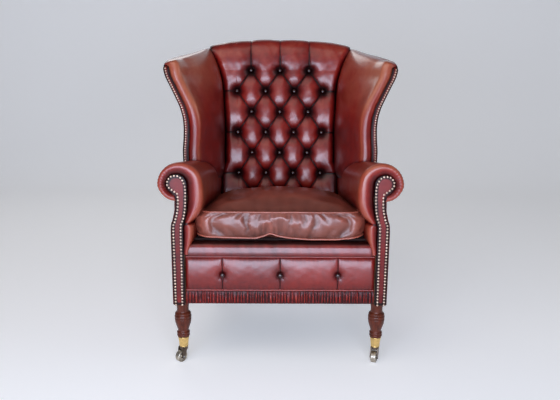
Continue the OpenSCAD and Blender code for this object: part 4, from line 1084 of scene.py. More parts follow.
def make_wing_outsides(count=60):
    """Outside panels of the wings: nearly flat, with a little fullness in the middle."""
    under_edge, fullness = 12.0, 3.0
    s = np.linspace(0, 1, count)[None]
    r = np.linspace(0, 1, count)[:, None]
    z = OUTSIDE_FOOT_Z + r * (wing_top(s) - under_edge - OUTSIDE_FOOT_Z)
    xy = wing_skin_at(z, s + 0 * z)
    p = np.stack([xy[..., 0] + fullness * hump(s) * hump(r), xy[..., 1], z], -1)
    # Painted shade: darker towards the panel's edges.
    rub = 0.57 - 0.3 * (1 - hump(s) ** 0.3 * hump(r) ** 0.3)
    for side, word in SIDES:
        obj = sided(f"{word}_wing_cover", p, rub, side)
        finished(obj, "chair", "facing_leather", finish_of("facing"), f"{word}_wing_outside")


# Arms

# The rounded front edge, as [depth, share of the way from the silhouette to the facing]
EDGE = [
    [16.5, 1.0], [13.0, 0.93], [7.5, 0.8], [2.6, 0.6], [0.2, 0.4], [0.9, 0.22], [5.0, 0.09], [11.5, 0.02],
    [18.0, 0.0],
]
GATHER_PITCH, GATHER_DEPTH, ARM_UNEVEN = 12.5, 0.9, 1.2
# Outlines seen from the front
FACING_IN = [
    [327, 222], [327, 330], [327, 461], [327, 496], [323.5, 515], [318, 538], [314, 566], [311.8, 596],
    [311.6, 622],
]
FACING_OUT = [
    [352, 602], [350, 592], [350.5, 576], [352.2, 556], [356, 534], [362.5, 512], [366, 496], [366, 360],
    [366, 222],
]
INNER_NAILS = [
    [336.5, 224], [335.5, 360], [334.5, 497], [327, 524], [320.5, 552], [317.6, 580], [316.6, 613],
    [317, 634], [319.5, 645], [322.8, 655], [328, 664], [335, 671], [344, 674.5], [354, 674.2],
    [364, 671], [371.2, 663], [375.4, 653], [375, 642.5], [369.6, 634.5], [361, 627.5], [352, 621],
    [343.4, 614.5],
]
OUTER_NAILS = [
    [359, 224], [359, 360], [359.5, 496], [353, 521], [346.5, 545], [343.2, 563], [341.5, 582], [341.6, 603],
]
COVER = [
    [355.5, 600], [356.4, 575], [357, 556], [364, 526], [371, 496], [371.6, 400], [371.4, 300], [371, 222],
]
NAIL_Y = 3.7


def arm_surface(cols=220, edge_rows=36, deep_rows=70):
    """The padded roll: a rounded front edge from the facing to the silhouette, then the
    section carried back with its taper and fall, and closed at the rear. Gathers fan round
    the front edge as a sine of the way along the section."""
    outline = ARM.copy()
    outline[CREASE_AT] = CREASE
    t = np.linspace(0, len(outline) - 1, cols)
    arm, core = through(outline, t), through(CORE, t)
    rings = [arm_point(mix(arm, core, f), y) for y, f in through(EDGE, edge_rows)]
    front, rear = EDGE[-1][0], arm_rear(arm)
    rings.extend(arm_point(arm, mix(front, rear, s)) for s in np.linspace(0, 1, deep_rows + 1)[1:])
    p = np.stack(rings)
    run = np.concatenate([[0], np.cumsum(np.linalg.norm(np.diff(arm, axis=0), axis=1))])
    gather = bell(run, 95.0, 60.0) * gathers(run, GATHER_PITCH, 1.5, 17.0)
    # Depth counts from 0 at the facing to 1 where the edge ends, and on to 21 at the rear
    d = np.concatenate([np.linspace(0, 1, edge_rows), 1 + np.linspace(0, 1, deep_rows + 1)[1:] * 20])[:, None]
    soft = ripple(run[None], d * 40.0, 150.0, 21, 2) * ARM_UNEVEN
    sink = gather[None] * GATHER_DEPTH * bell(d, 0.55, 0.45) + soft * np.clip(d - 1, 0, 1)
    p = p - normals(p) * sink[..., None]
    # Painted shade: dark in the valley beside the facing, in the crease and on the inner side behind the
    # front edge; the leather also turns darker towards the rear.
    rub = 0.06 + 0.75 * np.clip(d / 0.6, 0, 1) ** 1.5 - 0.14 * np.clip((d - 2.5) / 8.0, 0, 1)
    rub = rub * (1 - 0.8 * bell(t, CREASE_AT, 0.45)[None])
    rub = rub * (1 - 0.55 * np.clip((t - 9.5) / 1.5, 0, 1)[None] * np.clip((d - 1.8) / 1.5, 0, 1))
    hub = mix(EYE, core, np.where(t < BELLY_AT - 1, 0.05, 1.0)[:, None])
    caps = [arm_point(q, rear) for q in (mix(arm, core, 0.5), core, hub)]
    return np.concatenate([p, caps]), np.concatenate([rub, np.full((len(caps), cols), 0.3)])


def facing_outline():
    """The facing's outline: up the inner side, round the eye and down the outer side."""
    eye = turned(EYE, EYE_R, EYE_R, np.linspace(180, -58, 40))
    return even(through(np.concatenate([FACING_IN, eye, FACING_OUT]), 500), 300)


def rings_inward(path, steps):
    """The outline moved inwards along its own normals by each step, smoothed a little."""
    t = np.roll(path, -1, 0) - np.roll(path, 1, 0)
    n = np.stack([t[:, 1], -t[:, 0]], 1)
    n /= np.linalg.norm(n, axis=1, keepdims=True)
    out = []
    for d in steps:
        q = path + n * d
        for _ in range(int(d * 2)):
            q = (np.roll(q, 1, 0) + 2 * q + np.roll(q, -1, 0)) / 4
        out.append(q)
    return out


def facing_form():
    """A flat leather facing with softly rounded edges: rings of its outline drawn inwards."""
    path = facing_outline()
    steps = [0.0, 0.0, 0.5, 1.6, 3.5, 9.0, 14.0]
    depth = [14.0, 6.6, 5.2, 4.4, 4.0, 3.7, 3.6]
    # Painted shade: darker on the rounded edges, lighter on the flat face.
    rub = [0.0, 0.0, 0.03, 0.06, 0.1, 0.15, 0.46]
    n = len(path)
    rings = [np.stack([r[:, 0], np.full(n, y), r[:, 1]], 1) for r, y in zip(rings_inward(path, steps), depth)]
    return np.concatenate(rings), grid_faces(len(rings), n, round_cols=True), n, np.repeat(rub, n)


def facing_mesh(name, verts, quads, n, rub):
    """The rings closed by one face in front and one behind."""
    mesh = bpy.data.meshes.new(name)
    last = len(verts) - n
    ends = [tuple(range(n)), tuple(range(last, last + n))]
    mesh.from_pydata(laid(verts).tolist(), [], [*map(tuple, quads.tolist()), *ends])
    mesh.update()
    note_wear_and_shading(mesh, rub)
    obj = bpy.data.objects.new(name, mesh)
    bpy.context.scene.collection.objects.link(obj)
    return outward(obj)


def arm_nails():
    """Places of the nails along both sides of the facing, at an even pitch."""
    out = []
    for path in (INNER_NAILS, OUTER_NAILS):
        line = through(path, 600)
        run = np.linalg.norm(np.diff(line, axis=0), axis=1).sum()
        q = even(line, int(round(run / size("nail_pitch"))) + 1)
        out.append(np.stack([q[:, 0], np.full(len(q), NAIL_Y), q[:, 1]], 1))
    return np.concatenate(out)


def make_arms():
    """Both padded arms with their facings."""
    p, rub = arm_surface()
    verts, quads, n, facing_shading = facing_form()
    for side, word in SIDES:
        pad = sided(f"{word}_arm_leather", p, rub, side)
        finished(pad, "chair", "leather", finish_of("arm"), f"{word}_arm_pad")
        obj = facing_mesh(f"{word}_arm_strip", verts * [side, 1, 1], quads, n, facing_shading)
        finished(obj, "chair", "facing_leather", finish_of("facing"), f"{word}_arm_facing")


def make_nails():
    """Round-headed nails in even rows along the arms' and wings' facings."""
    radius = size("nail_radius")
    arms, wings = arm_nails(), wing_nails()
    form = turned_form(NAIL * radius, NAIL_SIDES)
    small = turned_form(NAIL * SMALL_NAIL_SHARE * radius, NAIL_SIDES)
    for side, word in SIDES:
        for places, shape, name in ((arms, form, "arm"), (wings, small, "wing")):
            v, q, t = copies(shape, places * [side, 1, 1], FORWARD)
            obj = outward(build(f"{word}_{name}_nails", laid(v), q, t))
            finished(obj, "chair", "castor_cup", finish_of("nail"))


def make_arm_outsides(count=60):
    """Outside panels of the arms, from under the scroll to the skirt."""
    front, fullness = 12.5, 2.5
    line = through(COVER, count)
    s = np.linspace(0, 1, count)[:, None]
    t = np.linspace(0, 1, count)[None]
    p = np.stack([arm_point(line, y) for y in mix(front, arm_rear(line), s)])
    full = hump(s) ** 0.6 * hump(t) ** 0.6
    p[..., 0] += fullness * full
    for side, word in SIDES:
        # Painted shade: darker towards the panel's edges.
        obj = sided(f"{word}_arm_cover", p, 0.34 + 0.24 * full, side)
        finished(obj, "chair", "facing_leather", finish_of("facing"), f"{word}_arm_outside")


# Seat front

FRONT_W = 326.0
BORDER_LOW, BORDER_TOP = 271.0, 391.0
BORDER_PITCH, BORDER_BUTTON_Z = 198.5, 327.0
PIPING_R = 3.0
# Section of the roll, as [depth, height]
ROLL_SECTION = [
    [33.0, 395.0], [20.0, 394.6], [10.0, 395.6], [2.6, 400.0], [1.0, 409.0], [2.2, 420.0], [4.6, 431.0],
    [10.5, 439.5], [20.0, 444.0], [32.0, 445.2], [45.0, 443.0], [54.0, 437.0], [55.0, 428.0],
]
ROLL_CORE = np.array([30.0, 418.0])


def make_front_roll(rows=64, cols=320):
    """The roll along the seat edge: its section is drawn in at both ends, and slack leather
    makes long soft waves in it and short tucks along its foot."""
    end_run, end_share, front_y = 24.0, 0.62, 0.5
    c = np.linspace(-1, 1, cols)
    c = np.sign(c) * (1 - (1 - np.abs(c)) ** 1.25)
    x = c * FRONT_W
    end = np.clip((FRONT_W - np.abs(x)) / end_run, 0, 1)
    draw = mix(end_share, 1.0, quarter(end))
    p = ROLL_CORE + (through(ROLL_SECTION, rows)[:, None] - ROLL_CORE) * draw[None, :, None]
    p = np.concatenate([np.broadcast_to(x[None, :, None], (rows, cols, 1)), p], -1)
    t = np.linspace(0, 1, rows)[:, None]
    wave = ripple(x, t * 60.0, 170.0, 31, 3) * 1.1 + ripple(x + 25 * t, t * 25.0, 46.0, 35, 2) * 0.55
    tuck = bell(t, 0, 0.16) * gathers(x, 17.0, 2.0, 41.0) * 0.7
    p = p + normals(p) * (wave * hump(t) ** 0.5 + tuck * hump(t * 4))[..., None]
    p[..., 1] = np.maximum(p[..., 1], front_y)
    # Painted light and shade: a lighter band along the middle of the section and on the waves' crests,
    # painted shade along the top under the cushion's overhang, and darker at the drawn-in ends.
    rub = 0.14 + 0.38 * hump((t - 0.05) / 0.9) ** 0.8 + 0.08 * wave
    rub = rub * (1 - 0.75 * np.clip((t - 0.52) / 0.1, 0, 1)) * np.clip(0.25 + end * 0.8, 0, 1)
    obj = outward(skin("front_roll_leather", p, LEATHER_T, rub))
    finished(obj, "chair", "leather", finish_of("leather"), "front_roll")


def make_border(rows=90, cols=460):
    """The border's channels of full leather between buttoned pleats, and its buttons."""
    inset, rear_y, flat_y, fullness, button_y = 1.5, 28.0, 25.5, 16.0, 16.5
    x = np.linspace(-FRONT_W, FRONT_W, cols)[None]
    t = np.linspace(0, 1, rows)[:, None]
    z = mix(BORDER_LOW + inset, BORDER_TOP - inset, t) + 0 * x
    off = x - np.round(np.clip(x / BORDER_PITCH, -1, 1)) * BORDER_PITCH
    reach = np.where(np.abs(x) > BORDER_PITCH, (FRONT_W - BORDER_PITCH) * 0.62, BORDER_PITCH / 2)
    lift = np.sin(np.pi / 2 * np.clip(np.abs(off) / reach, 0, 1)) ** 0.26
    end = quarter(np.clip((FRONT_W - np.abs(x)) / 16.0, 0, 1))
    r = np.hypot(off, (z - BORDER_BUTTON_Z) * 0.9)
    pit = 1 - np.exp(-((np.maximum(r - 6.0, 0) / 10.0) ** 1.4))
    full = (0.35 + 0.65 * lift) * hump(t) ** 0.34 * (0.4 + 0.6 * pit) * end
    pleat = bell(off, 0, 1.3) * np.clip(r / 14.0, 0, 1)
    fan = np.sin(np.arctan2(z - BORDER_BUTTON_Z, off) * 9) * bell(r, 15, 9.0) * 0.2
    top = bell(t, 1, 0.14) * gathers(x, 13.0, 2.4, 37.0) * 0.6
    low = bell(t, 0, 0.14) * gathers(x, 15.0, 2.1, 43.0) * 0.5
    soft = ripple(x, z, 120.0, 41, 3) * 1.2 * full
    y = flat_y - fullness * full + 2.4 * pleat - fan - (top + low) * hump(t * 12) - soft
    y = np.where((t <= 0) | (t >= 1), rear_y, np.minimum(y, rear_y))
    p = np.stack([np.broadcast_to(x, z.shape), y, z], -1)
    # Painted light and shade: lighter on the full channels and towards the top, darker in the pleats and
    # round the buttons, and lighter on the gathers' ridges.
    rub = (0.30 + 0.16 * full + 0.14 * t) * (1 - 0.75 * pleat) * (0.45 + 0.55 * pit) + 0.06 * (top + low)
    obj = outward(skin("front_border_leather", p, 2.5, rub))
    finished(obj, "chair", "leather", finish_of("leather"), "front_border")
    places = [[k * BORDER_PITCH, button_y, BORDER_BUTTON_Z] for k in (-1, 0, 1)]
    # The buttons' tone is painted shade of their pits.
    covered_buttons("border_button_covers", places, FORWARD, 0.6, "border_buttons")


def make_border_piping():
    """The cords along the border's two edges, a little uneven in line and girth."""
    cord_y = 23.5
    x = np.linspace(-FRONT_W, FRONT_W, 260)
    cords = []
    for z, seed in ((BORDER_LOW, 51), (BORDER_TOP, 52)):
        line = 0.5 * ripple(x, 0, 120.0, seed, 2)
        girth = 0.25 * ripple(x, 0, 22.0, seed + 5, 1)
        cords.append(tube(np.stack([x, np.full_like(x, cord_y), z + line], 1), PIPING_R + girth))
    v, q, t = joined(cords)
    obj = outward(build("border_cords", laid(v), q, t, np.full(len(v), 0.62)))
    finished(obj, "chair", "leather", finish_of("leather"), "border_piping")


def make_ruched_band(rows=40, cols=1300):
    """The gathered band under the border: folds at uneven spacing that lean and fade."""
    under_piping, flat_y, rear_y = 0.6, 23.5, 27.0
    x = np.linspace(-FRONT_W, FRONT_W, cols)[None]
    t = np.linspace(0, 1, rows)[:, None]
    lean = t * ripple(x, 0, 34.0, 62, 2)
    turn = 2 * np.pi * x / size("ruche_pitch") + 5.5 * ripple(x, 0, 80.0, 61, 3) + 2.2 * lean
    fold = 0.5 + 0.5 * np.cos(turn)
    plump = 0.6 + 0.55 * ripple(x + 6 * t, 30 * t, 30.0, 63, 2)
    minor = 0.5 + 0.5 * np.cos(turn * 2.37 + 5 * lean + 3.0 * t)
    body = hump(t * 0.92 + 0.06) ** 0.55
    tuck = bell(t, 0, 0.2)
    y = flat_y - body * (3.6 + 3.8 * plump * fold**1.2 + 1.6 * minor * (1 - fold)) - tuck * plump
    z = mix(SKIRT_Z, BORDER_LOW - PIPING_R - under_piping, t) + 1.6 * (plump - 0.6) * tuck
    p = np.stack([x + 1.2 * lean, np.minimum(y, rear_y), np.maximum(z, SKIRT_Z)], -1)
    # Painted light and shade: lighter on the folds' ridges, darker between them.
    rub = 0.16 + 0.5 * np.clip(fold**2.5 * plump * 1.3, 0, 1) * body + 0.12 * minor
    obj = outward(skin("ruched_leather", p, 2.0, rub))
    finished(obj, "chair", "leather", finish_of("facing"), "ruched_band")


# Loose cushion

CUSHION_W, CUSHION_FRONT, CUSHION_REAR = 286.0, 28.0, 508.0
CORNER, ARM_PLAY = 48.0, 7.5
WELT_LOW, CUSHION_LOW = SEAT_Z - 86.0, 447.4
BELLY, FALL = 13.5, 38.0
# Heave of the lower welt along the front, as [x, rise]: it dips beside a pucker
HEAVE = [
    [-290, 4], [-240, 0], [-150, -3], [-90, -4], [-58, 3], [-34, 12], [-12, 5], [40, -4], [110, -8],
    [180, -8], [240, -3], [290, 4],
]
PUCKER_X, PUCKER_WIDTH = -34.0, 60.0
# Where the heave has faded, and where the front's slack has, each with its run
HEAVE_END, HEAVE_RUN = 160.0, 130.0
SLACK_END, SLACK_RUN = 120.0, 90.0
SIDE, RINGS = 81, 14


def square_rim(share):
    """Points round the rim of a square, by the share of the way from its front left corner."""
    s = share * 4
    k = np.floor(s).astype(int)
    f = (s - k) * 2 - 1
    one = np.ones_like(f)
    return np.choose(k, [f, one, -f, -one]), np.choose(k, [-one, f, one, -f])


def cushion_plan(sx, sy, z, out=0.0):
    """Square coordinates to the plan: the corners are rounded and the sides follow the arms."""
    tiny = 1e-6
    wide, half = CUSHION_W + out, (CUSHION_REAR - CUSHION_FRONT) / 2 + out
    m = np.maximum(np.abs(sx), np.abs(sy))
    # A point goes out to the square's rim, onto the rounded corner, and back by its share
    px, py = sx / np.maximum(m, tiny) * wide, sy / np.maximum(m, tiny) * half
    cx, cy = wide - CORNER, half - CORNER
    ax, ay = np.maximum(np.abs(px) - cx, 0), np.maximum(np.abs(py) - cy, 0)
    corner = (ax > 0) & (ay > 0)
    k = CORNER / np.maximum(np.hypot(ax, ay), tiny)
    px = np.where(corner, np.sign(px) * (cx + ax * k), px)
    py = np.where(corner, np.sign(py) * (cy + ay * k), py)
    y = (CUSHION_FRONT + CUSHION_REAR) / 2 + py * m
    room = np.minimum(arm_inner(y, z) - ARM_PLAY, CUSHION_W) / CUSHION_W
    return px * m * room, y


def fallen(y):
    """How far the cushion's top has fallen at a depth."""
    return FALL * (y - CUSHION_FRONT) / (CUSHION_REAR - CUSHION_FRONT)


def heaved(x, y):
    """Rise of the cushion's lower edge, which fades behind its front."""
    return eased(x, HEAVE) * np.clip((HEAVE_END - y) / HEAVE_RUN, 0, 1)


def cushion_mesh():
    """Closed grid of the cushion: a top sheet, rings down the border and a bottom sheet."""
    bulge, squareness = 4.5, 2.2
    g = np.linspace(-1, 1, SIDE)
    sx, sy = np.meshgrid(g, g)
    sheets = []
    for z, rise, power, fall in ((SEAT_Z, size("cushion_crown"), 0.8, 1), (WELT_LOW, -BELLY, 0.22, 0)):
        x, y = cushion_plan(sx, sy, z)
        dome = (1 - np.abs(sx) ** squareness) ** power * (1 - np.abs(sy) ** squareness) ** power
        sheets.append(np.stack([x, y, z + rise * dome - fallen(y) * fall], -1).reshape(-1, 3))
    rim = rim_of(SIDE, SIDE)
    loops = []
    for f in np.arange(1, RINGS) / RINGS:
        z = mix(SEAT_Z, WELT_LOW, f)
        x, y = cushion_plan(sx.ravel()[rim], sy.ravel()[rim], z, bulge * math.sin(math.pi * f))
        loops.append(np.stack([x, y, z - fallen(y) * (1 - f)], -1))
    n, count = SIDE * SIDE, len(rim)
    low = n + (RINGS - 1) * count
    top = grid_faces(SIDE, SIDE)
    rows = [rim] + [n + i * count + np.arange(count) for i in range(RINGS - 1)] + [low + rim]
    side = [np.stack([b, np.roll(b, -1), np.roll(a, -1), a], 1) for a, b in zip(rows[:-1], rows[1:])]
    quads = np.concatenate([top, *side, top[:, ::-1] + low])
    return np.concatenate([sheets[0], *loops, sheets[1]]), quads, np.concatenate([rim, low + rim]), n, low


def swell(obj, fixed, frames, pressure, growth, cap):
    """Cloth under pressure, held at its welts, with a little more leather than the form
    needs, so that it wrinkles; no point moves more than the cap."""
    group = obj.vertex_groups.new(name="held")
    group.add([int(i) for i in fixed], 1.0, "REPLACE")
    start = np.empty(len(obj.data.vertices) * 3)
    obj.data.vertices.foreach_get("co", start)
    mod = obj.modifiers.new("cloth", "CLOTH")
    s = mod.settings
    s.quality = 6
    s.mass = 0.35
    s.tension_stiffness = s.compression_stiffness = 25.0
    s.shear_stiffness = 8.0
    s.bending_stiffness = 1.2
    s.shrink_min = growth
    s.use_pressure = True
    s.uniform_pressure_force = pressure
    s.vertex_group_mass = "held"
    s.pin_stiffness = 5.0
    s.effector_weights.gravity = 0.0
    mod.collision_settings.use_collision = False
    mod.point_cache.frame_start, mod.point_cache.frame_end = 1, frames
    scene = bpy.context.scene
    for frame_no in range(1, frames + 1):
        scene.frame_set(frame_no)
    shown = obj.evaluated_get(bpy.context.evaluated_depsgraph_get())
    end = np.empty(len(start))
    shown.data.vertices.foreach_get("co", end)
    obj.modifiers.remove(mod)
    scene.frame_set(1)
    move = (end - start).reshape(-1, 3)
    travel = np.linalg.norm(move, axis=1, keepdims=True)
    return start.reshape(-1, 3) + move * np.minimum(1, cap / np.maximum(travel, 1e-9))


def relax(values, quads, times):
    """Each value becomes the mean of itself and its neighbours, several times over."""
    count = len(values)
    a, b = np.concatenate([quads[:, [i, (i + 1) % 4]] for i in range(4)]).T
    degree = np.bincount(np.concatenate([a, b]), minlength=count)[:, None]
    v = np.array(values, float)
    for _ in range(times):
        total = [np.bincount(a, w[b], count) + np.bincount(b, w[a], count) for w in v.T]
        v = 0.5 * v + 0.5 * np.stack(total, 1) / degree
    return v


def make_cushion():
    """The loose cushion: a crowned form that a cloth simulation swells. Its top is smoothed
    again, and its border gets slack, gathers and one pucker from formulas."""
    calm_rise, dip_rise, share_calmed = 8.0, 20.0, 0.9
    frames, pressure, growth = 20, 3.0, -0.035
    verts, quads, fixed, n, low = cushion_mesh()
    obj = outward(build("cushion_leather_case", laid(verts), quads))
    p = swell(obj, fixed, frames, pressure, growth, size("wrinkle_reach") / 1000.0)
    obj.data.vertices.foreach_set("co", p.astype(np.float32).ravel())
    p = np.empty(len(verts) * 3)
    obj.data.vertices.foreach_get("co", p)
    p = p.reshape(-1, 3) * 1000.0 + [0.0, CHAIR_D / 2, 0.0]
    index = np.arange(len(p))
    border = (index >= n) & (index < low)
    share = np.clip((p[:, 2] - SEAT_Z + fallen(p[:, 1])) / calm_rise, 0, 1) * (index < n)
    p = mix(p, relax(p, quads, 30), share_calmed * share[:, None])
    # These are views of the points, so they move along with them below
    x, y, z = p.T
    front = np.clip((SLACK_END - y) / SLACK_RUN, 0, 1)
    mid = (z - WELT_LOW) / (SEAT_Z - WELT_LOW - fallen(y))
    gather = gathers(x, 21.0, 2.2, 31.0, 2.0 * mid)
    slack = ripple(x + 20 * mid, z, 60.0, 71, 3) * 1.7 + gather * 0.9 * np.abs(2 * mid - 1) ** 1.5
    y -= np.where(border, slack * hump(mid) ** 0.6, 0.0) * front
    dip = 2.5 * ripple(x, y, 190.0, 72, 2) * np.clip((z - SEAT_Z + fallen(y)) / dip_rise, 0, 1)
    heave = heaved(x, y) * np.clip(1.05 - mid, 0, 1)
    z[:] = np.maximum(z + dip + heave, CUSHION_LOW)
    pucker = bell(x, PUCKER_X, PUCKER_WIDTH) * np.clip(1 - mid, 0, 1) * front
    y += 5.0 * pucker * np.sin((x - PUCKER_X) / 7.0) ** 2 * border
    centre = [0.0, (CUSHION_FRONT + CUSHION_REAR) / 2, 0.0]
    smooth = relax(p, quads, 12)
    raised = np.linalg.norm(p - centre, axis=1) - np.linalg.norm(smooth - centre, axis=1)
    raised = np.clip(raised, -1.5, 1.5)
    crown = np.clip((z - SEAT_Z + fallen(y)) / size("cushion_crown"), 0, 1)
    # Painted light and shade: the border lighter across its middle, the top lighter towards its crown, and
    # both lighter on raised wrinkles and darker in their hollows.
    rub = np.where(border, 0.42 + 0.18 * hump(mid) + 0.14 * raised, 0.5 + 0.3 * crown + 0.1 * raised)
    rub = np.where(index >= low, 0.5, rub)
    obj.data.vertices.foreach_set("co", laid(p).astype(np.float32).ravel())
    note_wear_and_shading(obj.data, rub)
    obj.data.update()
    finished(obj, "cushion", "cushion_leather", finish_of("pad"), "seat_cushion")
    sub = obj.modifiers.new("rounding", "SUBSURF")
    sub.levels = sub.render_levels = 1


def make_welts():
    """The corded welts round the cushion's lower and upper edges."""
    proud = 1.2
    sx, sy = square_rim(np.linspace(0, 1, 520, endpoint=False))
    cords, cord_shading = [], []
    # The welts are lighter: wear along the cords, and a painted highlight on them.
    for z, rub in ((WELT_LOW, 0.95), (SEAT_Z, 0.85)):
        x, y = cushion_plan(sx, sy, z, proud)
        rise = heaved(x, y) if z < SEAT_Z else -fallen(y)
        rise = rise + 0.7 * ripple(x, y, 150.0, 81 + int(z), 2)
        v, q = ring_tube(np.stack([x, y, z + rise], 1), size("welt_radius"))
        cords.append((v, q))
        cord_shading.append(np.full(len(v), rub))
    v, q = joined(cords)
    obj = outward(build("cushion_welts", laid(v), q, rub=np.concatenate(cord_shading)))
    finished(obj, "cushion", "cushion_leather", finish_of("pad"), "cushion_piping")


# Outside back

OUTSIDE_BACK_HALF, OUTSIDE_BACK_Z = 299.0, 223.0
NARROW_Z, NARROW_RUN, NARROW_SHARE = 1085.0, 20.0, 0.022


def make_outside_back(rows=90, cols=70):
    """The outside back: one sheet, a little full in the middle, drawn in at its top corners
    and turned under at its edge."""
    under_top, inset, turn_in = 10.0, 0.6, 2.4
    c = np.linspace(-1, 1, cols)[None]
    r = np.linspace(0, 1, rows)[:, None]
    x = c * OUTSIDE_BACK_HALF
    z = OUTSIDE_BACK_Z + r * (back_top(x) - under_top - OUTSIDE_BACK_Z)
    x = x * (1 - NARROW_SHARE * np.clip((z - NARROW_Z) / NARROW_RUN, 0, 1))
    full = hump((c + 1) / 2) ** 0.5 * hump(r) ** 0.5
    y = outside(z) - inset - turn_in * (1 - full) ** 2 + 1.2 * ripple(x, z, 300.0, 91, 2) * full
    p = np.stack([x, y, z], -1)
    # Painted shade: darker towards the panel's edges, with a little random tone.
    rub = 0.32 + 0.24 * full + 0.05 * ripple(x, z, 200.0, 92, 2)
    obj = outward(skin("outside_back_leather", p[:, ::-1], LEATHER_T, rub[:, ::-1]))
    finished(obj, "chair", "leather", finish_of("leather"), "outside_back")


# Legs, and the finish of what the frame shows

LEG_X, LEG_Y, LEG_R, CUP_TOP = 341.0, 40.0, 29.5, 93.0
LEG_SIDES = 56
# The turning from the cup up to the skirt, as [share of the height, share of the radius]
TURNING = [
    [0, 0.62], [0.03, 0.74], [0.06, 0.77], [0.085, 0.71], [0.115, 0.77], [0.147, 0.75], [0.17, 0.66],
    [0.2, 0.64], [0.23, 0.68], [0.285, 0.76], [0.34, 0.84], [0.39, 0.9], [0.44, 0.95], [0.5, 0.98],
    [0.53, 0.985], [0.545, 0.94], [0.56, 0.98], [0.59, 1], [0.625, 0.97], [0.64, 0.9], [0.655, 0.94],
    [0.675, 0.94], [0.7, 0.88], [0.72, 0.78], [0.74, 0.72], [0.83, 0.7], [0.91, 0.74], [1, 0.82],
]
# The finish of the frame's pieces by the end of their names, all others being beech
FRAME_FINISHES = {
    "_cup": "cup", "_horn": "horn", "_wheel": "tread", "_axle": "steel", "_back_post": "mahogany",
    "seat_springs": "steel", "seat_platform": "linen", "dust_cover": "lining",
}


def make_legs():
    """The turned front legs: the profile eased between its rings and carried round."""
    heights, radii = through(TURNING, 120).T
    profile = np.stack([radii * LEG_R, CUP_TOP + np.clip(heights, 0, 1) * (SKIRT_Z - CUP_TOP)], 1)
    for side, word in SIDES:
        v, q, t = turned_form(profile, LEG_SIDES)
        obj = outward(build(f"front_{word}_turning", laid(v + [side * LEG_X, LEG_Y, 0]), q, t))
        finished(obj, "chair", "turned_leg", finish_of("mahogany"), f"front_{word}_leg")


def dress_frame():
    """Finishes for the pieces that are shown as the frame has them."""
    for name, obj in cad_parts.items():
        finish = next((f for end, f in FRAME_FINISHES.items() if name.endswith(end)), "beech")
        obj.data.materials.clear()
        obj.data.materials.append(finish_of(finish))


# Stage, in metres

FLOOR_FRONT, FLOOR_END, SWEEP, WALL_TOP, FLOOR_HALF = -6.0, 2.6, 1.6, 5.5, 7.0
SKY, SKY_STRENGTH = (0.93, 0.95, 1.0, 1), 0.13
# Name, place, target, width and height, watts and colour of each lamp
LAMPS = (
    ("window", (-0.9, -1.9, 3.1), (0, 0.1, 0.6), (3.6, 2.4), 35.0, (1.0, 0.91, 0.82)),
    ("doorway", (-0.3, -3.0, 0.66), (0, 0, 0.66), (2.6, 1.1), 104.0, (0.68, 0.79, 1.0)),
    ("side", (2.6, -0.9, 1.8), (0, 0, 0.7), (1.2, 1.2), 5.0, (0.9, 0.93, 1.0)),
    ("rear", (-1.2, 2.4, 2.6), (0, 0, 0.8), (1.6, 1.2), 9.0, (1.0, 0.98, 0.95)),
)
CAMERA_PLACE, LENS, SENSOR = (-0.021, -2.345, 1.02), 38.8, 36.0
# The camera's right, up and backward directions
CAMERA_TURN = ((1.0, -0.008, 0.007), (-0.005, 0.212, 0.977), (-0.009, -0.977, 0.212))


def stage_material(name, shade):
    """Matt paint that the camera, and gloss, see as a plain pale backdrop."""
    glow_colour, glow_strength = (0.95, 0.96, 1.0, 1), 0.3
    n = Nodes(name)
    n.set(Base_Color=(*shade, 1), Roughness=0.9, Specular_IOR_Level=0.2, Emission_Color=glow_colour)
    path = n.add("ShaderNodeLightPath")
    seen = n.add("ShaderNodeMath", operation="MAXIMUM")
    n.join(path, "Is Camera Ray", seen, 0)
    n.join(path, "Is Glossy Ray", seen, 1)
    glow = n.add("ShaderNodeMath", operation="MULTIPLY")
    n.join(seen, 0, glow, 0)
    glow.inputs[1].default_value = glow_strength
    n.join(glow, 0, n.shader, "Emission Strength")
    return n.material


def make_floor():
    """A pale floor that rises into a backdrop in one sweep."""
    turn = np.linspace(0.1, np.pi / 2, 14)
    deep = np.concatenate([[FLOOR_FRONT, FLOOR_END], FLOOR_END + SWEEP * np.sin(turn), [FLOOR_END + SWEEP]])
    up = np.concatenate([[0.0, 0.0], SWEEP * (1 - np.cos(turn)), [WALL_TOP]])
    x = np.linspace(-FLOOR_HALF, FLOOR_HALF, 3)
    verts = np.stack(np.broadcast_arrays(x[None], deep[:, None], up[:, None]), -1).reshape(-1, 3)
    floor = build("studio_floor", verts, grid_faces(len(deep), len(x)))
    floor.data.materials.append(stage_material("studio_paper", tone("paper")))


def make_lamp(name, place, target, spread, power, shade):
    """A soft oblong lamp that points at its target."""
    data = bpy.data.lights.new(name, "AREA")
    data.shape = "RECTANGLE"
    data.size, data.size_y = spread
    data.energy = power
    data.color = shade
    obj = bpy.data.objects.new(name, data)
    bpy.context.scene.collection.objects.link(obj)
    obj.location = place
    obj.rotation_euler = (Vector(target) - Vector(place)).to_track_quat("-Z", "Y").to_euler()


def make_stage():
    """The floor and backdrop, soft lamps and the camera."""
    make_floor()
    scene = bpy.context.scene
    world = bpy.data.worlds.new("studio")
    scene.world = world
    world.use_nodes = True
    world.node_tree.nodes["Background"].inputs["Color"].default_value = SKY
    world.node_tree.nodes["Background"].inputs["Strength"].default_value = SKY_STRENGTH
    for lamp in LAMPS:
        make_lamp(*lamp)
    camera = bpy.data.cameras.new("camera")
    camera.lens, camera.sensor_width = LENS, SENSOR
    obj = bpy.data.objects.new("camera", camera)
    scene.collection.objects.link(obj)
    turn = Matrix(CAMERA_TURN).transposed().to_4x4()
    obj.matrix_world = Matrix.Translation(CAMERA_PLACE) @ turn
    scene.camera = obj
    scene.view_settings.view_transform = "Standard"


# Operators and panel


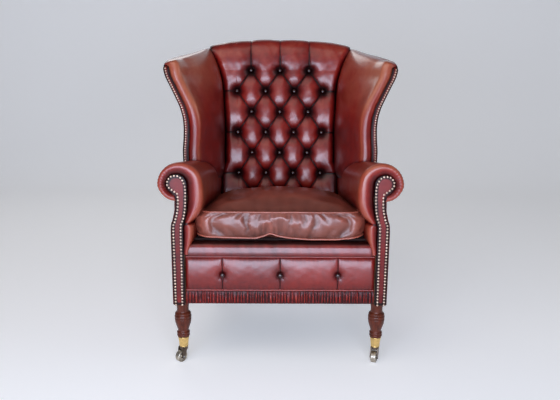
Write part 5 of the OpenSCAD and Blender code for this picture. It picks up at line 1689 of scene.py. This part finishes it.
class WINGCHAIR_OT_stage(bpy.types.Operator):
    """Add the pale floor, the lamps and the camera"""

    bl_idname = "wing_chair.stage"
    bl_label = "Stage"
    bl_options = {"REGISTER", "UNDO"}

    def execute(self, context):
        make_stage()
        return {"FINISHED"}


class WINGCHAIR_OT_back(bpy.types.Operator):
    """Add the deep-buttoned inside back"""

    bl_idname = "wing_chair.back"
    bl_label = "Buttoned Back"
    bl_options = {"REGISTER", "UNDO"}

    def execute(self, context):
        make_back()
        return {"FINISHED"}


class WINGCHAIR_OT_back_buttons(bpy.types.Operator):
    """Add the covered buttons of the back"""

    bl_idname = "wing_chair.back_buttons"
    bl_label = "Back Buttons"
    bl_options = {"REGISTER", "UNDO"}

    def execute(self, context):
        make_back_buttons()
        return {"FINISHED"}


class WINGCHAIR_OT_wings(bpy.types.Operator):
    """Add both padded wings with their nailed strips and cords"""

    bl_idname = "wing_chair.wings"
    bl_label = "Wings"
    bl_options = {"REGISTER", "UNDO"}

    def execute(self, context):
        make_wings()
        return {"FINISHED"}


class WINGCHAIR_OT_wing_outsides(bpy.types.Operator):
    """Add the outside panels of the wings"""

    bl_idname = "wing_chair.wing_outsides"
    bl_label = "Wing Outsides"
    bl_options = {"REGISTER", "UNDO"}

    def execute(self, context):
        make_wing_outsides()
        return {"FINISHED"}


class WINGCHAIR_OT_arms(bpy.types.Operator):
    """Add both padded arms with their facings"""

    bl_idname = "wing_chair.arms"
    bl_label = "Arms"
    bl_options = {"REGISTER", "UNDO"}

    def execute(self, context):
        make_arms()
        return {"FINISHED"}


class WINGCHAIR_OT_nails(bpy.types.Operator):
    """Add the rows of nails along the arms and wings"""

    bl_idname = "wing_chair.nails"
    bl_label = "Nails"
    bl_options = {"REGISTER", "UNDO"}

    def execute(self, context):
        make_nails()
        return {"FINISHED"}


class WINGCHAIR_OT_arm_outsides(bpy.types.Operator):
    """Add the outside panels of the arms"""

    bl_idname = "wing_chair.arm_outsides"
    bl_label = "Arm Outsides"
    bl_options = {"REGISTER", "UNDO"}

    def execute(self, context):
        make_arm_outsides()
        return {"FINISHED"}


class WINGCHAIR_OT_front_roll(bpy.types.Operator):
    """Add the roll along the seat's front edge"""

    bl_idname = "wing_chair.front_roll"
    bl_label = "Front Roll"
    bl_options = {"REGISTER", "UNDO"}

    def execute(self, context):
        make_front_roll()
        return {"FINISHED"}


class WINGCHAIR_OT_border(bpy.types.Operator):
    """Add the buttoned border under the roll"""

    bl_idname = "wing_chair.border"
    bl_label = "Front Border"
    bl_options = {"REGISTER", "UNDO"}

    def execute(self, context):
        make_border()
        return {"FINISHED"}


class WINGCHAIR_OT_border_piping(bpy.types.Operator):
    """Add the two cords along the border"""

    bl_idname = "wing_chair.border_piping"
    bl_label = "Border Piping"
    bl_options = {"REGISTER", "UNDO"}

    def execute(self, context):
        make_border_piping()
        return {"FINISHED"}


class WINGCHAIR_OT_ruched_band(bpy.types.Operator):
    """Add the gathered band under the border"""

    bl_idname = "wing_chair.ruched_band"
    bl_label = "Ruched Band"
    bl_options = {"REGISTER", "UNDO"}

    def execute(self, context):
        make_ruched_band()
        return {"FINISHED"}


class WINGCHAIR_OT_cushion(bpy.types.Operator):
    """Add the loose cushion, wrinkled by a cloth simulation"""

    bl_idname = "wing_chair.cushion"
    bl_label = "Cushion"
    bl_options = {"REGISTER", "UNDO"}

    def execute(self, context):
        make_cushion()
        return {"FINISHED"}


class WINGCHAIR_OT_welts(bpy.types.Operator):
    """Add the corded welts of the cushion"""

    bl_idname = "wing_chair.welts"
    bl_label = "Cushion Welts"
    bl_options = {"REGISTER", "UNDO"}

    def execute(self, context):
        make_welts()
        return {"FINISHED"}


class WINGCHAIR_OT_outside_back(bpy.types.Operator):
    """Add the leather of the outside back"""

    bl_idname = "wing_chair.outside_back"
    bl_label = "Outside Back"
    bl_options = {"REGISTER", "UNDO"}

    def execute(self, context):
        make_outside_back()
        return {"FINISHED"}


class WINGCHAIR_OT_legs(bpy.types.Operator):
    """Add both turned front legs"""

    bl_idname = "wing_chair.legs"
    bl_label = "Front Legs"
    bl_options = {"REGISTER", "UNDO"}

    def execute(self, context):
        make_legs()
        return {"FINISHED"}


class WINGCHAIR_OT_frame_finish(bpy.types.Operator):
    """Give the timber, springs, cloths and castors their materials"""

    bl_idname = "wing_chair.frame_finish"
    bl_label = "Frame Finishes"
    bl_options = {"REGISTER", "UNDO"}

    def execute(self, context):
        dress_frame()
        return {"FINISHED"}


PIECES = (
    WINGCHAIR_OT_stage,
    WINGCHAIR_OT_back,
    WINGCHAIR_OT_back_buttons,
    WINGCHAIR_OT_wings,
    WINGCHAIR_OT_wing_outsides,
    WINGCHAIR_OT_arms,
    WINGCHAIR_OT_nails,
    WINGCHAIR_OT_arm_outsides,
    WINGCHAIR_OT_front_roll,
    WINGCHAIR_OT_border,
    WINGCHAIR_OT_border_piping,
    WINGCHAIR_OT_ruched_band,
    WINGCHAIR_OT_cushion,
    WINGCHAIR_OT_welts,
    WINGCHAIR_OT_outside_back,
    WINGCHAIR_OT_legs,
    WINGCHAIR_OT_frame_finish,
)


class WINGCHAIR_PT_panel(bpy.types.Panel):
    """Settings and pieces of the wing chair"""

    bl_idname = "WINGCHAIR_PT_panel"
    bl_label = "Wing Chair"
    bl_space_type = "VIEW_3D"
    bl_region_type = "UI"
    bl_category = "Wing Chair"

    def draw(self, context):
        layout = self.layout
        for group in (context.scene.wing_chair_sizes, context.scene.wing_chair_colours):
            box = layout.box()
            for name in type(group).__annotations__:
                box.prop(group, name)
        column = layout.column(align=True)
        for piece in PIECES:
            column.operator(piece.bl_idname)


CLASSES = (ChairSizes, ChairColours, *PIECES, WINGCHAIR_PT_panel)


def register():
    for each in CLASSES:
        bpy.utils.register_class(each)
    bpy.types.Scene.wing_chair_sizes = bpy.props.PointerProperty(type=ChairSizes)
    bpy.types.Scene.wing_chair_colours = bpy.props.PointerProperty(type=ChairColours)


def unregister():
    del bpy.types.Scene.wing_chair_colours
    del bpy.types.Scene.wing_chair_sizes
    for each in reversed(CLASSES):
        bpy.utils.unregister_class(each)


def main():
    """Makes every piece."""
    register()
    bpy.ops.wing_chair.stage()
    bpy.ops.wing_chair.back()
    bpy.ops.wing_chair.back_buttons()
    bpy.ops.wing_chair.wings()
    bpy.ops.wing_chair.wing_outsides()
    bpy.ops.wing_chair.arms()
    bpy.ops.wing_chair.nails()
    bpy.ops.wing_chair.arm_outsides()
    bpy.ops.wing_chair.front_roll()
    bpy.ops.wing_chair.border()
    bpy.ops.wing_chair.border_piping()
    bpy.ops.wing_chair.ruched_band()
    bpy.ops.wing_chair.cushion()
    bpy.ops.wing_chair.welts()
    bpy.ops.wing_chair.outside_back()
    bpy.ops.wing_chair.legs()
    bpy.ops.wing_chair.frame_finish()


if __name__ == "__main__":
    main()
